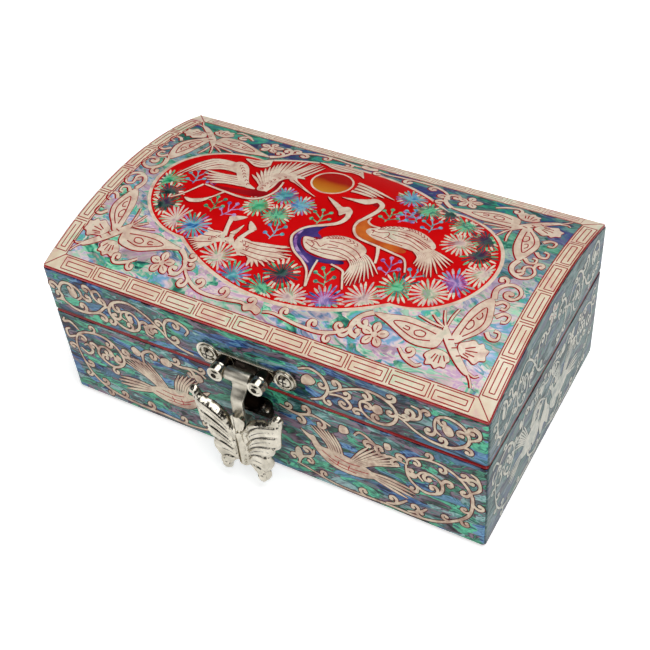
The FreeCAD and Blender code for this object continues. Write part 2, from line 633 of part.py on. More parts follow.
def clasp_tongue():
    """The sleeve, the neck in two tangent bends and the hook, as one bent strip."""
    half_t = TONGUE_T / 2
    low_y = BUTTERFLY_BACK_Y + half_t
    shift = PIVOT_Y - low_y
    bend = (shift ** 2 + NECK_DROP ** 2) / (4 * shift)
    turn = math.asin(NECK_DROP / (2 * bend))
    first = (PIVOT_Y - bend, PIVOT_Z - NECK_START)
    second = (low_y + bend, PIVOT_Z - NECK_START - NECK_DROP)
    hook_tip = -HALF_D - KEEPER_OUT - HOOK_CLEARANCE
    foot_z = HOOK_Z - HOOK_T

    def on_first(radius, angle):
        return Vector(0, first[0] + radius * math.cos(angle), first[1] - radius * math.sin(angle))

    def on_second(radius, angle):
        return Vector(0, second[0] - radius * math.cos(angle), second[1] + radius * math.sin(angle))

    def bends(upper_r, lower_r):
        upper = Part.Arc(on_first(upper_r, 0), on_first(upper_r, turn / 2), on_first(upper_r, turn))
        lower = Part.Arc(on_second(lower_r, turn), on_second(lower_r, turn / 2), on_second(lower_r, 0))
        return upper.toShape(), lower.toShape()

    inner_upper, inner_lower = bends(bend + half_t, bend - half_t)
    outer_upper, outer_lower = bends(bend - half_t, bend + half_t)
    inner_top, outer_top = Vector(0, PIVOT_Y + half_t, PIVOT_Z), Vector(0, PIVOT_Y - half_t, PIVOT_Z)
    hook = [on_second(bend - half_t, 0), Vector(0, low_y + half_t, HOOK_Z), Vector(0, hook_tip, HOOK_Z),
            Vector(0, hook_tip, foot_z), Vector(0, low_y - half_t, foot_z), on_second(bend + half_t, 0)]
    outline = [Part.makeLine(inner_top, on_first(bend + half_t, 0)), inner_upper, inner_lower]
    outline += [Part.makeLine(start, end) for start, end in zip(hook, hook[1:])]
    outline += [outer_lower, outer_upper, Part.makeLine(on_first(bend - half_t, 0), outer_top)]
    outline.append(Part.makeLine(outer_top, inner_top))
    strip = Part.Face(Part.Wire(Part.__sortEdges__(outline)))
    sleeve_half = LUG_SPACING / 2 - LUG_R - SLEEVE_GAP
    strip.translate(Vector(LATCH_X - sleeve_half, 0, 0))
    strip = strip.extrude(Vector(2 * sleeve_half, 0, 0)).common(tongue_front(sleeve_half * TONGUE_ROOT_SHARE))
    tongue = strip.fuse(clasp_rod(SLEEVE_R, sleeve_half))
    return tongue.cut(clasp_rod(CLASP_PIN_R + CLASP_PIN_CLEARANCE, LUG_SPACING)).removeSplitter()


def tongue_front(root):
    """The tongue seen from the front: wide at the sleeve, waisted to the strip below."""
    half = TONGUE_W / 2
    start_z = PIVOT_Z - NECK_START
    waist_z = start_z - NECK_DROP
    foot_z = HOOK_Z - HOOK_T - OVERRUN

    def at(x, z):
        return Vector(LATCH_X + x, PIVOT_Y - BUTTERFLY_OUT, z)

    def flank(sign):
        middle = at(sign * (half + (root - half) * TONGUE_WAIST_SHARE), (start_z + waist_z) / 2)
        return Part.Arc(at(sign * root, start_z), middle, at(sign * half, waist_z)).toShape()

    top_z = PIVOT_Z + SLEEVE_R
    edges = [flank(-1), flank(1)]
    corners = [at(root, start_z), at(root, top_z), at(-root, top_z), at(-root, start_z)]
    edges += [Part.makeLine(start, end) for start, end in zip(corners, corners[1:])]
    corners = [at(-half, waist_z), at(-half, foot_z), at(half, foot_z), at(half, waist_z)]
    edges += [Part.makeLine(start, end) for start, end in zip(corners, corners[1:])]
    face = Part.Face(Part.Wire(Part.__sortEdges__(edges)))
    return face.extrude(Vector(0, 2 * BUTTERFLY_OUT, 0))


def wing_point(share, sign, y):
    """A point of the butterfly from its shares of half width and height."""
    x = LATCH_X + sign * share[0] * BUTTERFLY_W / 2
    return Vector(x, y, BUTTERFLY_TOP - (1 - share[1]) * BUTTERFLY_H)


def wing(sign):
    """One domed wing pair: its scalloped outline under a shallow round."""
    edges = []
    for shares in WING_ARC_SHARES:
        edges.append(Part.Arc(*[wing_point(share, sign, BUTTERFLY_BACK_Y) for share in shares]).toShape())
    top = wing_point(WING_ARC_SHARES[0][0], sign, BUTTERFLY_BACK_Y)
    bottom = wing_point(WING_ARC_SHARES[-1][-1], sign, BUTTERFLY_BACK_Y)
    edges.append(Part.makeLine(bottom, top))
    face = Part.Face(Part.Wire(edges))
    thick = WING_EDGE_T + WING_DOME
    slab = face.extrude(Vector(0, -thick, 0))
    reach = BUTTERFLY_W / 2 * (1 - WING_DOME_SHARE)
    dome_r = (reach ** 2 + WING_DOME ** 2) / (2 * WING_DOME)
    ridge = wing_point((WING_DOME_SHARE, 0.0), sign, BUTTERFLY_BACK_Y - thick + dome_r)
    foot = ridge - Vector(0, 0, OVERRUN)
    return slab.common(rod(dome_r, foot, foot + Vector(0, 0, BUTTERFLY_H + 2 * OVERRUN)))


def flute(shares, sign):
    """The cutter of one crescent flute in a wing, down to the level of the wing edge."""
    level = BUTTERFLY_BACK_Y - WING_EDGE_T
    start, middle, end = (wing_point(share, sign, level) for share in shares)
    across = (end - start).cross(Vector(0, 1, 0)).normalize() * (FLUTE_W / 2)
    edges = [Part.Arc(start, middle + across, end).toShape(), Part.Arc(end, middle - across, start).toShape()]
    return Part.Face(Part.Wire(edges)).extrude(Vector(0, -WING_DOME - OVERRUN, 0))


def butterfly_body():
    """The body and head: two arc outlines with a rounded front."""
    def at(x, share):
        return Vector(LATCH_X + x, BUTTERFLY_BACK_Y, BUTTERFLY_TOP - (1 - share) * BUTTERFLY_H)

    low, high = BODY_SHARES
    middle = (low + high) / 2
    body = [
        Part.Arc(at(0, low), at(BODY_HALF_W, middle), at(0, high)).toShape(),
        Part.Arc(at(0, high), at(-BODY_HALF_W, middle), at(0, low)).toShape(),
    ]
    chin, cheek, brow = HEAD_SHARES
    jaw = (chin + cheek) / 2
    head = [
        Part.Arc(at(0, chin), at(HEAD_HALF_W * HEAD_JAW_SHARE, jaw), at(HEAD_HALF_W, cheek)).toShape(),
        Part.Arc(at(HEAD_HALF_W, cheek), at(0, brow), at(-HEAD_HALF_W, cheek)).toShape(),
        Part.Arc(at(-HEAD_HALF_W, cheek), at(-HEAD_HALF_W * HEAD_JAW_SHARE, jaw), at(0, chin)).toShape(),
    ]
    pieces = []
    for outline, thick, round_r in ((body, BODY_T, BODY_ROUND_R), (head, HEAD_T, HEAD_ROUND_R)):
        foot = Vector(LATCH_X, BUTTERFLY_BACK_Y - thick + round_r, BUTTERFLY_TOP - BUTTERFLY_H - OVERRUN)
        slab = Part.Face(Part.Wire(outline)).extrude(Vector(0, -thick, 0))
        pieces.append(slab.common(rod(round_r, foot, foot + Vector(0, 0, BUTTERFLY_H + 2 * OVERRUN))))
    return pieces


def butterfly():
    """The butterfly casting: two fluted wing pairs with the body and head between them."""
    casting = None
    for sign in (-1, 1):
        piece = wing(sign)
        for shares in FLUTE_SHARES:
            piece = piece.cut(flute(shares, sign))
        casting = piece if casting is None else casting.fuse(piece)
    for piece in butterfly_body():
        casting = casting.fuse(piece)
    return casting.removeSplitter()


def build():
    """Every piece of the box by name."""
    nodes = {}
    base_groups = (base_boards, base_veneers, base_lining, ring_rolls)
    lid_groups = (lid_boards, lid_veneers, lid_inlays, lid_lining)
    for group in base_groups + lid_groups:
        nodes.update(group())
    fit_hinges(nodes)
    fit_latch(nodes)
    fit_catch(nodes)
    nodes["clasp_tongue"] = clasp_tongue()
    nodes["clasp_butterfly"] = butterfly()
    return nodes


os.makedirs("parts", exist_ok=True)
for node, shape in build().items():
    shape.exportStep("parts/{}.step".format(node))
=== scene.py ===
import math
import random
from itertools import product

import bmesh
import bpy
from mathutils import Matrix, Vector
from mathutils.geometry import delaunay_2d_cdt, tessellate_polygon


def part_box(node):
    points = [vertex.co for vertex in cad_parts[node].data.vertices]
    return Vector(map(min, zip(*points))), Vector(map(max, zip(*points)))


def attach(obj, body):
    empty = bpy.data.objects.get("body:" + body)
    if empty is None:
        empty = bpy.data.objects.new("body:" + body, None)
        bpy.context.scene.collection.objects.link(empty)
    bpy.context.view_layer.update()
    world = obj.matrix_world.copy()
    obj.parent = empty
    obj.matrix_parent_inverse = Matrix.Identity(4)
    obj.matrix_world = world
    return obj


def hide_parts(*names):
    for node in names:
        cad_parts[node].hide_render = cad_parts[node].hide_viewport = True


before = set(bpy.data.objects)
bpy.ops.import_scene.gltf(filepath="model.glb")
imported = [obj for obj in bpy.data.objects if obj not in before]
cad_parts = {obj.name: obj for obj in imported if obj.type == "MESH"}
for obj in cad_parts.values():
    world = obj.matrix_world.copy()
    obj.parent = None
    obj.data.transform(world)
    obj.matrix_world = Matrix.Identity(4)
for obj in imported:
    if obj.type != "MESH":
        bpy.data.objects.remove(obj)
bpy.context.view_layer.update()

random.seed(11)
MM = 0.001


def box_mm(node):
    return [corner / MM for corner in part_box(node)]


# Faces of the box, from the frame, in millimetres
field_high = box_mm("lid_shell_field")[1]
border_low, border_high = box_mm("lid_border_left")
front_low, front_high = box_mm("base_front_veneer")
side_high = box_mm("base_right_veneer")[1]
rim_low, rim_high = box_mm("cartouche_rim")
sun_low, sun_high = box_mm("sun_disc")
pin_low, pin_high = box_mm("clasp_pin")
plate_low, plate_high = box_mm("latch_plate")
wing_low, wing_high = box_mm("clasp_butterfly")
HALF_W = side_high.x
HALF_D = -front_low.y
CROWN_Z = border_high.z
ARCH_RISE = 11.4
ARCH_R = (HALF_D ** 2 + ARCH_RISE ** 2) / (2 * ARCH_RISE)
FIELD_W = field_high.x
FIELD_D = ARCH_R * math.asin(field_high.y / ARCH_R)
BORDER_D = ARCH_R * math.asin(border_high.y / ARCH_R)
BORDER_W = -border_low.x
PARTING_Z = box_mm("lid_front_veneer")[0].z
CLASP_X = (plate_low.x + plate_high.x) / 2

# Inlay sizes, in millimetres
INLAY_T = 0.12
EDGE_LIFT = 0.03
PEARL_LIFT = 0.06
LINE_LIFT = 0.087
STACK_STEP = 0.0012
STACK_LEVELS = 20
GOLDEN = (math.sqrt(5) - 1) / 2
GROUP_STEP = 0.06
TOP_EDGE_W = 0.42
SIDE_EDGE_W = 0.46
# Painted shadow: the dark lines round the inlays on the lid top sit this far to one side
EDGE_SHADOW_SHIFT = (-0.16, -0.20)
LINE_W = 0.44
ARCH_CUT = 3.0


# Materials

DISPLAY_GAMMA = 2.2
COAT_ROUGHNESS = 0.05
GRAIN_BUMP = 0.05
# Height of the painted shade along the foot of the boards, in millimetres
FOOT_SHADE_HEIGHT = 0.6


def tone(red, green, blue):
    """A display colour, 0 to 255, as linear light."""
    return tuple((c / 255) ** DISPLAY_GAMMA for c in (red, green, blue)) + (1.0,)


def tones(*colours):
    """Even colour stops from display colours."""
    return [(i / (len(colours) - 1), tone(*colour)) for i, colour in enumerate(colours)]


LOOKS = {}


class Look:
    """One procedural material round a Principled shader, kept in LOOKS by its name."""

    def __init__(self, name, roughness=0.4, metallic=0.0, coat=0.0, sheen=0.0, specular=0.4):
        LOOKS[name] = self
        self.material = bpy.data.materials.new(name)
        self.material.use_nodes = True
        self.nodes = self.material.node_tree.nodes
        self.links = self.material.node_tree.links
        self.shader = self.nodes["Principled BSDF"]
        values = {"Roughness": roughness, "Metallic": metallic, "Coat Weight": coat,
                  "Coat Roughness": COAT_ROUGHNESS, "Sheen Weight": sheen, "Specular IOR Level": specular}
        for socket, value in values.items():
            self.shader.inputs[socket].default_value = value
        self.place = self.add("ShaderNodeTexCoord").outputs["Object"]

    def add(self, kind, inputs=None, **settings):
        node = self.nodes.new(kind)
        for name, value in settings.items():
            setattr(node, name, value)
        for name, value in (inputs or {}).items():
            if isinstance(value, bpy.types.NodeSocket):
                self.links.new(value, node.inputs[name])
            else:
                node.inputs[name].default_value = value
        return node

    def stretched(self, scale, turn=(0, 0, 0), vector=None):
        inputs = {"Vector": vector or self.place, "Scale": scale, "Rotation": turn}
        return self.add("ShaderNodeMapping", inputs).outputs[0]

    def noise(self, scale, detail=3, distortion=0.0, vector=None):
        inputs = {"Vector": vector or self.place, "Scale": scale, "Detail": detail, "Distortion": distortion}
        return self.add("ShaderNodeTexNoise", inputs)

    def ramp(self, value, stops):
        node = self.add("ShaderNodeValToRGB", {"Fac": value})
        band = node.color_ramp
        while len(band.elements) < len(stops):
            band.elements.new(1.0)
        for element, (position, colour) in zip(band.elements, stops):
            element.position = position
            element.color = colour
        return node.outputs["Color"]

    def weighted(self, *terms, offset=0.0):
        """The sum of value times weight over the terms, plus an offset."""
        total = offset
        for value, weight in terms:
            node = self.add("ShaderNodeMath", {0: value, 1: weight, 2: total}, operation="MULTIPLY_ADD")
            total = node.outputs[0]
        return total

    def mix(self, share, first, second, blend="MIX"):
        inputs = {"Fac": share, "Color1": first, "Color2": second}
        return self.add("ShaderNodeMixRGB", inputs, blend_type=blend).outputs[0]

    def along(self, axis, start, end):
        """0 to 1 along an axis of the frame, between two places in millimetres."""
        value = self.add("ShaderNodeSeparateXYZ", {"Vector": self.place}).outputs[axis]
        inputs = {"Value": value, "From Min": start * MM, "From Max": end * MM}
        return self.add("ShaderNodeMapRange", inputs).outputs[0]

    def colour(self, value):
        self.links.new(value, self.shader.inputs["Base Color"])
        return self

    def bump(self, height, strength, distance=0.0002):
        inputs = {"Height": height, "Strength": strength, "Distance": distance}
        self.links.new(self.add("ShaderNodeBump", inputs).outputs[0], self.shader.inputs["Normal"])
        return self


SWAY_SCALE, SWAY_REACH = 70, 0.016
STREAK_SHARE, STREAK_BEND = 1.4, 1.6
FINE_SHARE, FINE_BEND = 2.2, 0.6
HUE_WEIGHTS, HUE_OFFSET = (0.85, 0.7, 0.5), -0.52
BACK_SHARES = (-0.45, 0.75)
BACK_WEIGHTS, BACK_OFFSET = (1.2, 0.9), -0.6
SHADE_WEIGHTS, SHADE_OFFSET = (0.5, 1.5, 0.5), -0.72
SHADE_ENDS = (0.10, 0.62)
BLACK, WHITE = tone(0, 0, 0), tone(255, 255, 255)


def shell_look(name, stops, stretch, cells, darkest, turn=(0, 0, 0), back_shaded_stops=None, coat=0.6):
    """Shell laid in splinters: streaky cells of shifting colour under clear lacquer."""
    look = Look(name, roughness=0.28, coat=coat, specular=0.5 * coat)
    flat = look.stretched(stretch, turn)
    sway = look.noise(SWAY_SCALE, 3, vector=flat).outputs["Color"]
    bent = look.add("ShaderNodeVectorMath", {0: sway, 1: [SWAY_REACH] * 3, 2: flat},
                    operation="MULTIPLY_ADD").outputs[0]
    splinter = look.add("ShaderNodeTexVoronoi", {"Vector": bent, "Scale": cells, "Randomness": 1.0})
    chance = look.add("ShaderNodeSeparateColor", {"Color": splinter.outputs["Color"]}).outputs
    streak = look.noise(STREAK_SHARE * cells, 4, STREAK_BEND, bent).outputs["Fac"]
    finer = look.stretched(stretch, turn, bent)
    fine = look.noise(FINE_SHARE * cells, 4, FINE_BEND, finer).outputs["Fac"]
    hue = look.weighted(*zip((chance[0], streak, fine), HUE_WEIGHTS), offset=HUE_OFFSET)
    colour = look.ramp(hue, stops)
    # Towards the back of the lid the colour runs into darker, more teal stops: painted shade on the far
    # slope of the arch
    if back_shaded_stops:
        backward = look.along("Y", *[share * HALF_D for share in BACK_SHARES])
        share = look.weighted(*zip((backward, streak), BACK_WEIGHTS), offset=BACK_OFFSET)
        share = look.ramp(share, [(0.0, BLACK), (1.0, WHITE)])
        colour = look.mix(share, colour, look.ramp(hue, back_shaded_stops))
    shade = look.weighted(*zip((chance[1], fine, streak), SHADE_WEIGHTS), offset=SHADE_OFFSET)
    shade = look.ramp(shade, [*zip(SHADE_ENDS, (darkest, WHITE))])
    look.colour(look.mix(1.0, colour, shade, "MULTIPLY"))
    return look.bump(streak, GRAIN_BUMP)


def pearl_look(name, stops, scale=90, gain=1.9, grain=0.4, coat=0.5):
    """Cut shell of one tint; the gain says how far its colour runs along the stops."""
    look = Look(name, roughness=0.34, coat=coat, specular=0.6 * coat)
    wide = look.noise(scale, 3, 1.4).outputs["Fac"]
    fine = look.noise(6 * scale, 3).outputs["Fac"]
    share = look.weighted((wide, gain), (fine, gain * grain), offset=0.5 - 0.5 * gain * (1 + grain))
    look.colour(look.ramp(share, stops))
    return look.bump(fine, GRAIN_BUMP)


def plain_look(name, low, high, scale, roughness, **settings):
    """One colour with a fine grain between two display colours."""
    look = Look(name, roughness=roughness, **settings)
    grain = look.noise(scale, 4).outputs["Fac"]
    look.colour(look.ramp(grain, [(0.35, tone(*low)), (0.65, tone(*high))]))
    return look.bump(grain, GRAIN_BUMP)


def line_look(name, low, high):
    """Matt colour of the thin lines round and on the inlays."""
    return plain_look(name, low, high, 400, 0.45, specular=0.1)


def board_look():
    """Red lacquer, with painted shade along the foot of the box."""
    look = Look("board_lacquer", roughness=0.3, coat=0.5, specular=0.3)
    red = look.ramp(look.noise(60, 4).outputs["Fac"], [(0.35, tone(140, 8, 16)), (0.65, tone(164, 12, 20))])
    # Painted shade: the boards turn dark brown just above the floor
    look.colour(look.mix(look.along("Z", front_low.z, front_low.z + FOOT_SHADE_HEIGHT), tone(46, 16, 18), red))
    return look


def sun_look():
    """Amber at the front of the disc, running to red at the back: a painted reflection on the lacquer."""
    look = Look("sun_lacquer_painted_reflection", roughness=0.3, coat=0.3, specular=0.2)
    # Painted reflection: the colour runs from amber at the front of the disc to red at the back
    share = look.weighted((look.along("Y", sun_low.y, sun_high.y), 1.0),
                          (look.noise(160, 2).outputs["Fac"], 0.12))
    look.colour(look.ramp(share, [(0.10, tone(204, 134, 46)), (0.46, tone(190, 96, 30)),
                                  (0.64, tone(166, 34, 26)), (0.95, tone(176, 22, 22))]))
    return look


def velvet_look(name, low, high):
    """Short pile with a sheen of its own colour."""
    look = Look(name, roughness=0.9, sheen=0.35, specular=0.1)
    look.shader.inputs["Sheen Tint"].default_value = tone(*high)
    pile = look.noise(60, 3, 1.0).outputs["Fac"]
    look.colour(look.ramp(pile, [(0.3, tone(*low)), (0.7, tone(*high))]))
    return look.bump(look.noise(1500, 3).outputs["Fac"], 0.5, 0.0003)


def nickel_look(name, low_rough, high_rough):
    """Worn plating whose roughness follows its wear."""
    look = Look(name, metallic=1.0)
    wear = look.noise(220, 4).outputs["Fac"]
    look.colour(look.ramp(wear, [(0.3, tone(158, 152, 138)), (0.7, tone(206, 200, 186))]))
    rough = look.add("ShaderNodeMapRange", {"Value": wear, "To Min": low_rough, "To Max": high_rough})
    look.links.new(rough.outputs[0], look.shader.inputs["Roughness"])
    return look.bump(look.noise(900, 2).outputs["Fac"], 0.04)


TOP_SHELL = tones((44, 84, 90), (74, 182, 144), (156, 226, 190), (236, 212, 208), (204, 160, 202),
                  (240, 224, 212), (70, 188, 150), (128, 170, 214), (236, 212, 216), (170, 212, 186))
# Darker, more teal shell for the back of the lid top: painted shade, with a change of shell colour
BACK_SHADED_SHELL = tones((12, 24, 36), (22, 92, 90), (58, 182, 140), (32, 72, 140), (70, 58, 120), (116, 170, 158),
                   (18, 88, 78))
# Front and back shell in darker tones than the top: painted shade, over the shell's own deep teal
FRONT_SHADED_SHELL = tones((8, 12, 20), (40, 78, 140), (104, 150, 188), (20, 84, 86), (92, 196, 154), (26, 40, 50),
                    (136, 108, 128), (26, 114, 104), (150, 186, 186), (70, 60, 82))
# Shell of the ends in grey, silvery tones: painted shade under a painted grazing reflection
SIDE_REFLECTION_SHELL = tones((36, 50, 54), (62, 98, 96), (110, 130, 128), (46, 82, 82), (120, 134, 134), (58, 84, 110),
                   (100, 98, 106), (74, 124, 112))
PINE_SHELLS = {
    "green_shell": tones((16, 60, 54), (50, 160, 112), (120, 206, 158), (34, 110, 100), (180, 214, 176)),
    "blue_shell": tones((24, 40, 90), (60, 128, 190), (130, 190, 204), (70, 160, 160), (88, 82, 150)),
    "violet_shell": tones((62, 36, 84), (140, 92, 168), (196, 160, 206), (116, 104, 170), (90, 70, 110)),
    "rose_shell": tones((150, 120, 122), (206, 176, 176), (226, 210, 192), (140, 176, 140), (186, 150, 180)),
    "pale_shell": tones((186, 172, 160), (216, 206, 186), (234, 224, 204), (184, 204, 178), (214, 190, 196)),
    "dark_shell": tones((18, 26, 34), (36, 74, 68), (70, 96, 92), (70, 50, 80), (28, 44, 66)),
}
shell_look("top_shell", TOP_SHELL, (0.5, 1.0, 0.6), 190, tone(172, 168, 176), (0, 0, 0.5), BACK_SHADED_SHELL)
# The front and back: a darker copy of the shell, with painted shade in its colours
shell_look("front_shell_shaded", FRONT_SHADED_SHELL, (0.34, 1.0, 1.0), 230, tone(52, 56, 70), (0, 0.12, 0), coat=0.2)
# The ends: a grey copy of the shell with painted shade and grazing reflection in its colours
shell_look("side_shell_painted_reflection", SIDE_REFLECTION_SHELL, (1.0, 0.34, 1.0), 230, tone(110, 120, 122), (0.12, 0, 0), coat=0.05)
pearl_look("pearl", tones((200, 160, 148), (220, 194, 172), (236, 218, 198), (204, 198, 174)))
pearl_look("border", tones((224, 180, 176), (230, 210, 182), (238, 226, 202), (206, 218, 184)), scale=45)
# Pearl of the front and back in darker tones than on the top: painted shade
pearl_look("side_pearl_shaded", tones((146, 112, 98), (186, 160, 140), (216, 198, 174), (168, 160, 140)), coat=0.2)
# Pearl of the ends in grey, darker tones: painted shade under a painted grazing reflection
pearl_look("end_pearl_painted_reflection", tones((124, 130, 126), (158, 162, 152), (190, 186, 172), (140, 152, 148)), coat=0.1)
plain_look("red_lacquer", (204, 10, 14), (218, 16, 20), 60, 0.3, coat=0.35, specular=0.2)
board_look()
line_look("engraved", (150, 14, 24), (172, 34, 38))
line_look("edge", (140, 6, 16), (168, 16, 26))
# Outline on the ends in dark grey, not red: painted shade and grazing reflection on the line
line_look("end_edge_shaded", (30, 42, 46), (56, 66, 68))
# Outline on the front and back, near black: the red line darkened with painted shadow
line_look("side_edge_shaded", (30, 12, 16), (96, 26, 28))
plain_look("indigo", (34, 26, 78), (84, 66, 138), 160, 0.3, coat=0.5)
plain_look("amber", (186, 62, 30), (214, 116, 46), 120, 0.3, coat=0.5)
plain_look("crimson", (140, 10, 22), (166, 22, 32), 120, 0.3, coat=0.4)
sun_look()
velvet_look("velvet", (112, 8, 18), (136, 12, 24))
velvet_look("felt", (22, 22, 24), (38, 38, 42))
nickel_look("nickel", 0.10, 0.26)
nickel_look("satin_nickel", 0.30, 0.46)
# Nickel in dark tones for parts seen in shade: painted shade and dark reflection
plain_look("nickel_painted_shade", (44, 36, 32), (70, 60, 52), 200, 0.14, metallic=1.0)
# Dark fill of painted shade for hollows in the metal: flute bottoms, wing eyes, lug holes and screw crosses
plain_look("recess", (26, 22, 20), (46, 40, 36), 600, 0.5, metallic=0.6)
plain_look("mirror", (228, 234, 232), (236, 240, 238), 5, 0.02, metallic=1.0)
for look_name, look_stops in PINE_SHELLS.items():
    pearl_look(look_name, look_stops, scale=130, gain=2.4, grain=0.1)

# The looks that may fill each material slot
SLOTS = {
    "pale_pearl": ("pearl", "side_pearl_shaded", "end_pearl_painted_reflection"),
    "red_lacquer": ("engraved", "edge", "side_edge_shaded", "crimson", "red_lacquer"),
    "abalone_shell": (*PINE_SHELLS, "indigo", "end_edge_shaded"),
    "amber_lacquer": ("amber",),
    "nickel": ("nickel", "nickel_painted_shade", "recess"),
}


def place_piece(name, mesh, look, body):
    """One piece of the scene from a bmesh drawn in millimetres."""
    data = bpy.data.meshes.new(name)
    bmesh.ops.scale(mesh, vec=(MM, MM, MM), verts=mesh.verts[:])
    mesh.to_mesh(data)
    mesh.free()
    data.materials.append(LOOKS[look].material)
    piece = bpy.data.objects.new(name, data)
    bpy.context.scene.collection.objects.link(piece)
    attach(piece, body)
    next(slot for slot, looks in SLOTS.items() if look in looks)
    return piece


def dress(names, look):
    for name in names:
        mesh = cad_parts[name].data
        mesh.materials.clear()
        mesh.materials.append(LOOKS[look].material)


def named(*starts):
    return [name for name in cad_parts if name.startswith(starts)]


ENDS = ("front", "back", "left", "right")
METAL = named("hinge", "latch", "catch", "clasp")
dress([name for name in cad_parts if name.endswith("board")], "board_lacquer")
dress(["cartouche_panel"], "red_lacquer")
dress([f"{part}_{end}_veneer" for part in ("base", "lid") for end in ENDS[:2]], "front_shell_shaded")
dress([f"{part}_{end}_veneer" for part in ("base", "lid") for end in ENDS[2:]], "side_shell_painted_reflection")
dress([f"lid_border_{end}" for end in ENDS], "border")
dress(["lid_shell_field"], "top_shell")
dress(["cartouche_rim", "sun_ring"], "pearl")
dress(["sun_disc"], "sun_lacquer_painted_reflection")
dress(["base_felt"], "felt")
dress(named("lining", "divider", "lid_lining"), "velvet")
dress(["mirror"], "mirror")
dress(METAL, "nickel")
# Painted shadow and dark reflection make the catch plate under the butterfly dark
dress(["catch_plate"], "nickel_painted_shade")
dress(["clasp_tongue"], "satin_nickel")


# Drawing on the faces

def on_arch(u, v, lift):
    """u along the box, v along the arch from its crown, + to the back."""
    turn = v / ARCH_R
    reach = ARCH_R + lift
    return Vector((u, reach * math.sin(turn), CROWN_Z - ARCH_R + reach * math.cos(turn)))


def on_top(u, v, lift):
    """A place on the arch, straight between the cuts so that all layers run side by side."""
    low = math.floor(v / ARCH_CUT) * ARCH_CUT
    return on_arch(u, low, lift).lerp(on_arch(u, low + ARCH_CUT, lift), (v - low) / ARCH_CUT)


FACES = {
    "top": on_top,
    "front": lambda u, v, lift: Vector((u, -HALF_D - lift, v)),
    "back": lambda u, v, lift: Vector((-u, HALF_D + lift, v)),
    "right": lambda u, v, lift: Vector((HALF_W + lift, u, v)),
    "left": lambda u, v, lift: Vector((-HALF_W - lift, -u, v)),
}


def curve(points, closed=False, per=5):
    """A smooth line through the points."""
    count = len(points)
    line = []
    for i in range(count if closed else count - 1):
        if closed:
            knots = [points[(i + k - 1) % count] for k in range(4)]
        else:
            knots = [points[min(max(i + k - 1, 0), count - 1)] for k in range(4)]
        for step in range(per):
            t = step / per
            line.append(tuple((2 * b + (c - a) * t + (2 * a - 5 * b + 4 * c - d) * t ** 2
                               + (3 * b - a - 3 * c + d) * t ** 3) / 2 for a, b, c, d in zip(*knots)))
    if not closed:
        line.append(points[-1])
    return line


def polar(u, v, r, a):
    return (u + r * math.cos(a), v + r * math.sin(a))


def turned(u, v, x, y, turn):
    """The place x, y of a small drawing, turned and put at u, v."""
    return (u + x * math.cos(turn) - y * math.sin(turn), v + x * math.sin(turn) + y * math.cos(turn))


def oval(u, v, half_u, half_v, turn=0.0, sides=14):
    angles = [2 * math.pi * i / sides for i in range(sides)]
    return [turned(u, v, half_u * math.cos(a), half_v * math.sin(a), turn) for a in angles]


def spread(values, share):
    """The value at a share of the way along an even list of numbers or points."""
    at = share * (len(values) - 1)
    low = min(int(at), len(values) - 2)
    first, second, part = values[low], values[low + 1], at - low
    if isinstance(first, tuple):
        return tuple(a + (b - a) * part for a, b in zip(first, second))
    return first + (second - first) * part


def run_length(points):
    return sum(math.dist(a, b) for a, b in zip(points, points[1:]))


PLATE_ROOM = 1.5
HINGE_HALF = 15.0
HINGE_BELOW = 7.0
HINGE_ABOVE = 6.0
FIELD_MARGIN = 0.8
SIDE_MARGIN = 1.2
FOOT_MARGIN = 1.4
UPPER_MARGIN = 2.0
HINGES_X = [sum(corner.x for corner in box_mm(f"hinge_{side}_base_leaf")) / 2 for side in ("left", "right")]


def keep_off(face):
    """Where the metal lies on a face, as boxes of low and high corners."""
    if face == "front":
        room = Vector((PLATE_ROOM, 0, PLATE_ROOM))
        boxes = [(low - room, high + room) for low, high in ((plate_low, plate_high), box_mm("catch_plate"))]
        return [(low.x, low.z, high.x, high.z) for low, high in boxes]
    if face == "back":
        low, high = front_high.z - HINGE_BELOW, front_high.z + HINGE_ABOVE
        return [(x - HINGE_HALF, low, x + HINGE_HALF, high) for x in HINGES_X]
    return []


def in_bounds(sheet, u, v):
    """Whether a place lies on the shell of its face, clear of metal and of the panel."""
    if sheet.face == "top":
        return abs(u) < FIELD_W - FIELD_MARGIN and abs(v) < FIELD_D - FIELD_MARGIN and not in_panel(u, v)
    if any(a < u < c and b < v < d for a, b, c, d in keep_off(sheet.face)):
        return False
    across = HALF_W if sheet.face in ("front", "back") else HALF_D
    low, high = (front_low.z, front_high.z) if sheet.body == "base" else (PARTING_Z, CROWN_Z - ARCH_RISE)
    if sheet.body == "lid" and across == HALF_D:
        high = CROWN_Z - ARCH_R + math.sqrt(ARCH_R ** 2 - u ** 2)
    return abs(u) < across - SIDE_MARGIN and low + FOOT_MARGIN < v < high - UPPER_MARGIN


FEATHER_SHARES = (1.0, 1.0, 0.8)
FEATHER_LEAST = (0.45, 0.5, 0.5)
FEATHER_TIP = 0.25
CLIP_SHARE = 0.1
FOLDED = 0.5


